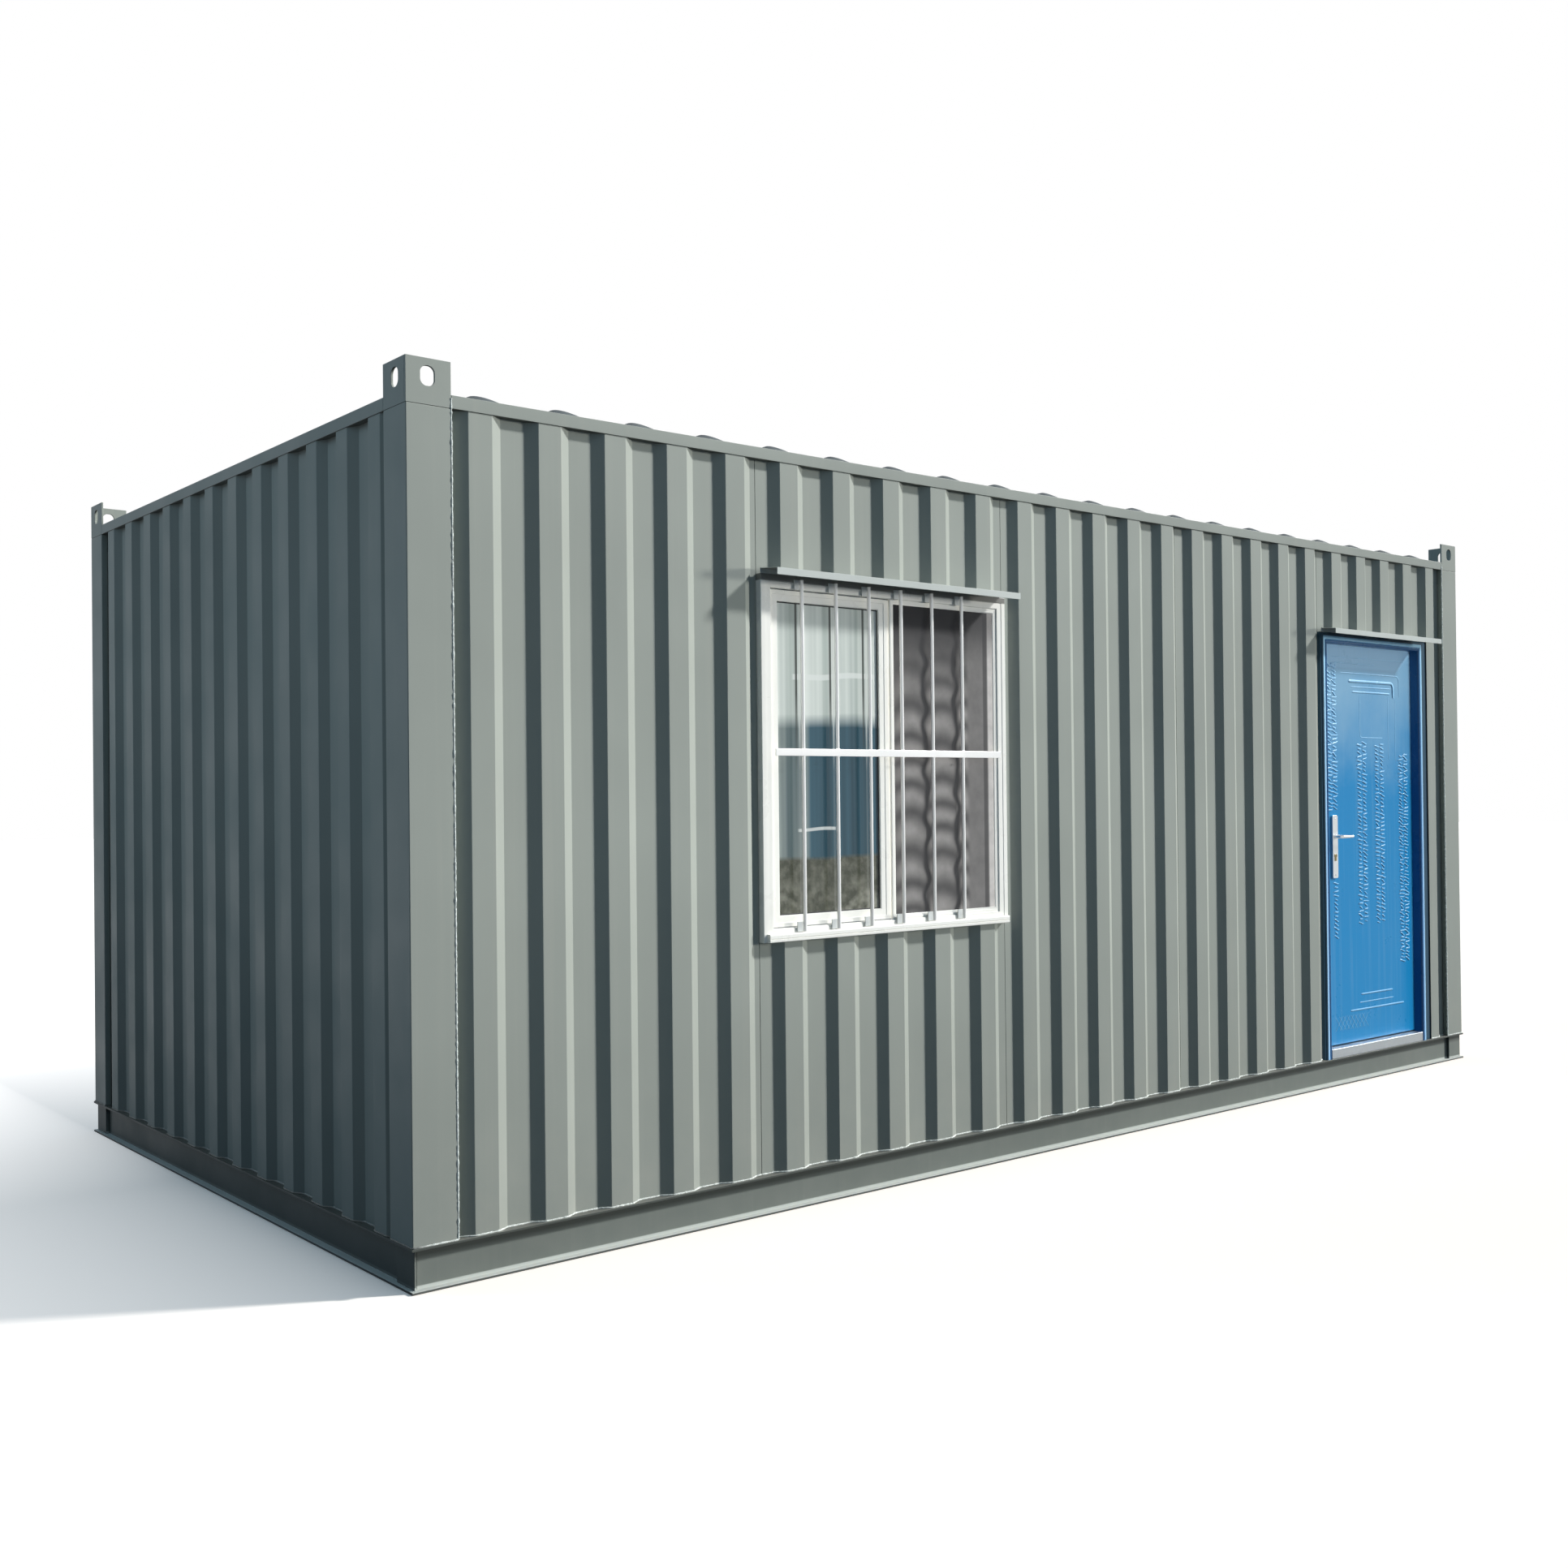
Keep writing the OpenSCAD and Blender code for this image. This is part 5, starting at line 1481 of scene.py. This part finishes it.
# %% Frame, sashes and screen frame
FRAME_FACE, SASH_FACE, MEETING, SCREEN_FACE = 45 * MM, 42 * MM, 76 * MM, 18 * MM
SASH_DEPTH = 26 * MM
SASH_LAP = 60 * MM                     # how far the two sashes lap in the middle
profile_ring("window_frame_profile", window_low, window_high, [FRAME_FACE] * 4, ["window_frame"])

sash_width = (sash_high.x - sash_low.x + SASH_LAP) / 2
front_sash = (sash_low, Vector((sash_low.x + sash_width, sash_low.y + SASH_DEPTH, sash_high.z)))
rear_sash = (Vector((sash_high.x - sash_width, sash_high.y - SASH_DEPTH, sash_low.z)), sash_high)
front_faces = [SASH_FACE, SASH_FACE, MEETING, SASH_FACE]
profile_ring("window_sash_front", *front_sash, front_faces, ["window_sashes"])
profile_ring("window_sash_rear", *rear_sash, [SASH_FACE] * 4)
screen_ring = profile_ring("fly_screen_profile", screen_low, screen_high, [SCREEN_FACE] * 4,
                           ["fly_screen_frame"], bead=3 * MM, groove=11 * MM, step=0.8 * MM, edge=1.2 * MM)
print("sashes", round(sash_width, 3), "m wide")


# %% Rubber round the panes, and brush round the sashes
RUBBER_LIP = ((-4, 10.3), (-4, 9.5), (-2.5, 8.0), (1, 7.6), (1, 10.3))      # out and back, millimetres
BRUSH_PILE = ((-3, 0.6), (-3, -0.6), (0, -0.6), (0, 0.6))


def soft_ring(name, sash, width, section, finish):
    """A strip of one section, all round a sash, so far in from its rim as width says."""
    low, high = sash
    profile = [((out * MM,) * 4, back * MM) for out, back in section]
    ring = round_rectangle(name, opening_of(low, high, width), profile, low.y)
    hand_over(ring, "cabin", finish)
    print(name, len(ring.data.polygons), "faces")


soft_ring("rubber_front", front_sash, front_faces, RUBBER_LIP, RUBBER)
soft_ring("rubber_rear", rear_sash, [SASH_FACE] * 4, RUBBER_LIP, RUBBER)
soft_ring("brush_front", front_sash, [0] * 4, BRUSH_PILE, BRUSH)
soft_ring("brush_rear", rear_sash, [0] * 4, BRUSH_PILE, BRUSH)

# %% [markdown]
# ### Sill and bars
# The sill trim has a rolled nose and a groove along its face. The bars are plain round steel,
# painted white, standing in front of the frame at an even pitch, so their number, pitch, radius
# and height are the inputs of a small tree. A flat bar crosses them in the middle, with a small
# weld at every crossing, and every bar has a short pale tab beside its foot and its head.


# %% Sill trim
trim_low, trim_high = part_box("window_sill")
ROLL, LIP_ROLL = 5 * MM, 3 * MM        # radii of its nose and of its lower lip
TRIM_GROOVE = ((0, 13), (1.8, 12), (1.8, 10.5), (0, 9.5))      # back and up, millimetres

groove = [(trim_low.y + back * MM, trim_low.z + up * MM) for back, up in TRIM_GROOVE]
trim_section = ([(trim_high.y, trim_high.z)] + arc((trim_low.y + ROLL, trim_high.z - ROLL), ROLL, 90, 180, 4)
                + groove + arc((trim_low.y + LIP_ROLL, trim_low.z + LIP_ROLL), LIP_ROLL, 180, 270, 3)
                + [(trim_high.y, trim_low.z)])
trim = loft("sill_trim", [[(x, back, up) for back, up in trim_section] for x in (trim_low.x, trim_high.x)])
hand_over(shade(trim, 30), "cabin", PROFILE, ["window_sill"])
print("sill trim", round(trim_high.x - trim_low.x, 3), "m long")


# %% The tree that sets the bars
def bar_tree():
    tree, given, close = geometry_tree("window_bars", Count=6, Pitch=157 * MM, Bar_Radius=7 * MM, Height=1.2)
    row = row_of_points(tree, given["Count"], vector(tree, X=given["Pitch"]))
    line = wire(tree, "GeometryNodeCurvePrimitiveLine", {"End": vector(tree, Z=given["Height"])}).outputs[0]
    bar = sweep_round(tree, line, given["Bar_Radius"], 20)
    return close(lay_on(tree, given["Geometry"], lay_on(tree, row, bar)))


BAR_COUNT = 6
BAR_Y = window_low.y - BAR_RADIUS - 0.3 * MM
foot = paths_mesh("bar_foot", [[(FIRST_BAR, BAR_Y, bar_low.z)]])
bars = grow("window_bars_round", foot, bar_tree(), WHITE_STEEL, Count=BAR_COUNT, Pitch=BAR_PITCH,
            Bar_Radius=BAR_RADIUS, Height=bar_high.z - bar_low.z)
point_outwards(bars)
hand_over(shade(bars, 50), "cabin", None, ["window_bars"])
print(BAR_COUNT, "bars, each", round(bar_high.z - bar_low.z, 3), "m long")

# %% The flat bar across
CROSS_HEIGHT, CROSS_THICK = 25 * MM, 5 * MM
cross_top = max(v.co.z for v in nodes["window_bars"].data.vertices if abs(v.co.x - bar_low.x) < MM)
cross_z = cross_top - CROSS_HEIGHT / 2
cross_foot, cross_head = cross_z - CROSS_HEIGHT / 2, cross_z + CROSS_HEIGHT / 2
cross_back = bar_low.y + CROSS_THICK
flat_bar = (bar_low.x, bar_low.y, cross_foot), (bar_high.x, cross_back, cross_head)
crossbar = boxes("window_crossbar", [flat_bar], 1.2 * MM)
hand_over(crossbar, "cabin", WHITE_STEEL)
for piece in (bars, crossbar, screen_ring):
    piece.visible_shadow = False       # clear glass would not show the shadows of these thin pieces
print("flat bar at z =", round(cross_z, 3))

# %% Tabs and little welds on the bars
TAB_WIDTH, TAB_THICK, TAB_HEIGHT = 30 * MM, 4 * MM, 34 * MM
bar_places = [FIRST_BAR + i * BAR_PITCH for i in range(BAR_COUNT)]
tabs = [((x - TAB_WIDTH, window_low.y - TAB_THICK, z), (x, window_low.y - 0.1 * MM, z + TAB_HEIGHT))
        for x in bar_places for z in (bar_low.z, bar_high.z - TAB_HEIGHT)]
hand_over(boxes("bar_tabs", tabs, 0.8 * MM), "cabin", TAB_PLASTIC)


def spot(x, y, z, half):
    """A short level path for a spot of weld."""
    return [(x - half, y, z), (x + half, y, z)]


crossings = [spot(x + side * BAR_RADIUS, cross_back, z, 2 * MM)
             for x in bar_places for side in (-1, 1) for z in (cross_foot, cross_head)]
bar_ends = [spot(x, window_low.y - 1 * MM, z, 3 * MM)
            for x in bar_places for z in (bar_low.z + 2 * MM, bar_high.z - 2 * MM)]
for name, paths, radius, seed in (
        ("weld_crossings", crossings, 2.2, 17), ("weld_bar_ends", bar_ends, 2.5, 19)):
    weld(name, paths, radius * MM, seed, WHITE_STEEL, 2 * MM, 0.4)
print(len(tabs), "tabs and", len(crossings) + len(bar_ends), "weld spots")

# %% [markdown]
# ## Fly screen cloth
# The screen is a fine cloth held all round in its frame. It has gone slack: two vertical folds wander down
# it, and between them it bellies out in soft pillows, one above the other. Depth and painted shading both
# come from the same rule, so the light and the colour agree: the depth moves the corners of a fine grid, and
# the painted shading, with lit pillows and dark creases, is kept on the mesh as an attribute that the finish
# reads. Cloth simulation could make such ripples too, but a rule keeps each pillow in its place. At one side
# the white stile of the sash behind shows through, and the top has a painted shadow from the hood.

# %% The rule of the ripples
CLOTH_FOLDS = ((0.303, 0.009), (0.612, 0.008))     # place across the cloth, and sideways wander
FLAT_FROM = 0.76                       # the last strip, from here on, is pulled flat
FOLD_WIDTH = 14 * MM
PILLOW = 108 * MM                      # height of one soft pillow
LONG_WAVE, SHORT_WAVE, DRIFT = 1.45 * PILLOW, 0.83 * PILLOW, 1.9 * PILLOW      # of a fold's wander
DEPTH = 1.5 * MM
STILE_SHOWS, STILE_EDGE = 30 * MM, 12 * MM      # widths of the pale strip and of the dark one beside it


def smooth(value, low, high):
    """0 up to low and 1 from high on, with a soft start and end."""
    t = np.clip((value - low) / (high - low), 0, 1)
    return t * t * (3 - 2 * t)


def fold_lines(across, up, width):
    """1 in the bottom of a fold, and 0 beside it."""
    fold = np.zeros_like(across)
    for place, wander in CLOTH_FOLDS:
        sway = (np.sin(2 * np.pi * up / LONG_WAVE + 9 * place) + 0.5 * np.sin(up / DRIFT)
                + 0.45 * np.sin(2 * np.pi * up / SHORT_WAVE + 20 * place))
        weight = 0.85 + 0.15 * np.sin(2 * np.pi * up / LONG_WAVE + 2)
        aside = across - place * width - wander * sway
        fold = np.maximum(fold, weight * np.exp(-(aside / FOLD_WIDTH) ** 2))
    return fold


def pillows(across, up, width):
    """How far each place swells, and how near it is to the middle of its column."""
    edges = [0.0] + [place for place, _ in CLOTH_FOLDS] + [FLAT_FROM]
    swell, middle = np.zeros_like(across), np.zeros_like(across)
    for column, (start, end) in enumerate(zip(edges, edges[1:])):
        t = (across / width - start) / (end - start)
        arch = np.sin(np.pi * np.clip(t, 0, 1))
        inside = (t >= 0) & (t <= 1)
        uneven = 0.7 * np.sin(up / (0.8 * PILLOW) + 2.2 * column)
        wave = np.abs(np.sin(np.pi * up / PILLOW + 1.3 * column - 0.7 * arch + uneven))
        swell, middle = np.where(inside, wave, swell), np.where(inside, arch, middle)
    return swell, middle


print("pillows are", PILLOW, "m high and", DEPTH, "m deep")


# %% Depth and painted shading
def ripples(across, up, width, height):
    """Depth and painted shading of the cloth at places given from its lower left corner."""
    fold = fold_lines(across, up, width)
    swell, middle = pillows(across, up, width)
    slack = smooth(across / width, FLAT_FROM, FLAT_FROM - 0.05)
    shaded = smooth(up / height, 0.98, 0.80)                # painted shadow: the top lies in the shade of the hood
    depth = DEPTH * (slack * ((0.6 + 0.4 * middle) * swell ** 1.2 - 0.45) - 0.6 * fold)
    # painted shading: lit pillows, dark creases and the hood's shadow
    lit = slack * swell ** 1.8 * (0.55 + 0.45 * middle) * smooth(up / height, 0.93, 0.60)
    painted_shading_tone = (0.19 + 0.72 * lit + 0.34 * (1 - slack)) * (0.12 + 0.88 * shaded) * np.clip(1 - 1.5 * fold, 0, 1)
    behind = across - (width - STILE_SHOWS)                 # the sash's white stile shows through the cloth
    edge = smooth(np.abs(behind + STILE_EDGE), STILE_EDGE, 0.75 * STILE_EDGE)
    painted_shading_tone = 0.455 * painted_shading_tone * (1 - 0.65 * edge)
    return depth, np.where(behind > 0, 0.30 + 0.60 * shaded, painted_shading_tone)


print("the last", STILE_SHOWS, "m show the stile")

# %% Weave the cloth
CELLS_ACROSS, CELLS_UP = 104, 224
HELD_EDGE = 12 * MM                    # within this of the frame the cloth is held flat


def screen_cloth_mesh(node):
    low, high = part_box(node)
    width, height = high.x - low.x, high.z - low.z
    across, up = np.meshgrid(np.linspace(0, width, CELLS_ACROSS + 1), np.linspace(0, height, CELLS_UP + 1))
    depth, painted_shading_tone = ripples(across, up, width, height)
    held = np.minimum.reduce([across, width - across, up, height - up])
    depth = depth * smooth(held, 0, HELD_EDGE)
    middle = (low.y + high.y) / 2
    corners = np.stack([low.x + across, middle - depth, low.z + up], axis=-1).reshape(-1, 3)
    row = CELLS_ACROSS + 1
    faces = [(j * row + i, j * row + i + 1, (j + 1) * row + i + 1, (j + 1) * row + i)
             for j in range(CELLS_UP) for i in range(CELLS_ACROSS)]
    piece = mesh_object("fly_screen_cloth", corners, faces)
    # the painted shading is kept under the attribute name fold
    mark = piece.data.attributes.new("fold", "FLOAT", "POINT")
    mark.data.foreach_set("value", painted_shading_tone.reshape(-1).astype(np.float32))
    piece.data.shade_smooth()
    hand_over(piece, "cabin", CLOTH, [node])
    return piece


cloth = screen_cloth_mesh("fly_screen_mesh")
print("fly screen:", len(cloth.data.polygons), "faces")

# %% [markdown]
# ## Inside, and the last finishes
# The plain solids that stay as they are get their finish here: the panes, the lining, the floor.
# Their shapes are flat boards, and their detail is in the finish.

# %% Finish the plain solids
PLAIN = {"window_panes": GLASS, "ceiling": LINING, "front_lining": LINING, "back_lining": LINING,
         "end_linings": LINING, "floor_board": PLANKS, "floor_cross_members": PRIMER}
for name, finish in PLAIN.items():
    nodes[name].data.materials.clear()
    nodes[name].data.materials.append(finish)
print(len(PLAIN), "plain solids finished")

# %% [markdown]
# ## The sizes of frame and looks
# The looks must not make the cabin larger than its frame. The two boxes are printed one after the other.

# %% Print the sizes
box_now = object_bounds()
sizes = {"frame": [list(corner) for corner in cad_box], "looks": [list(corner) for corner in box_now]}
print("frame", sizes["frame"])
print("looks", sizes["looks"])
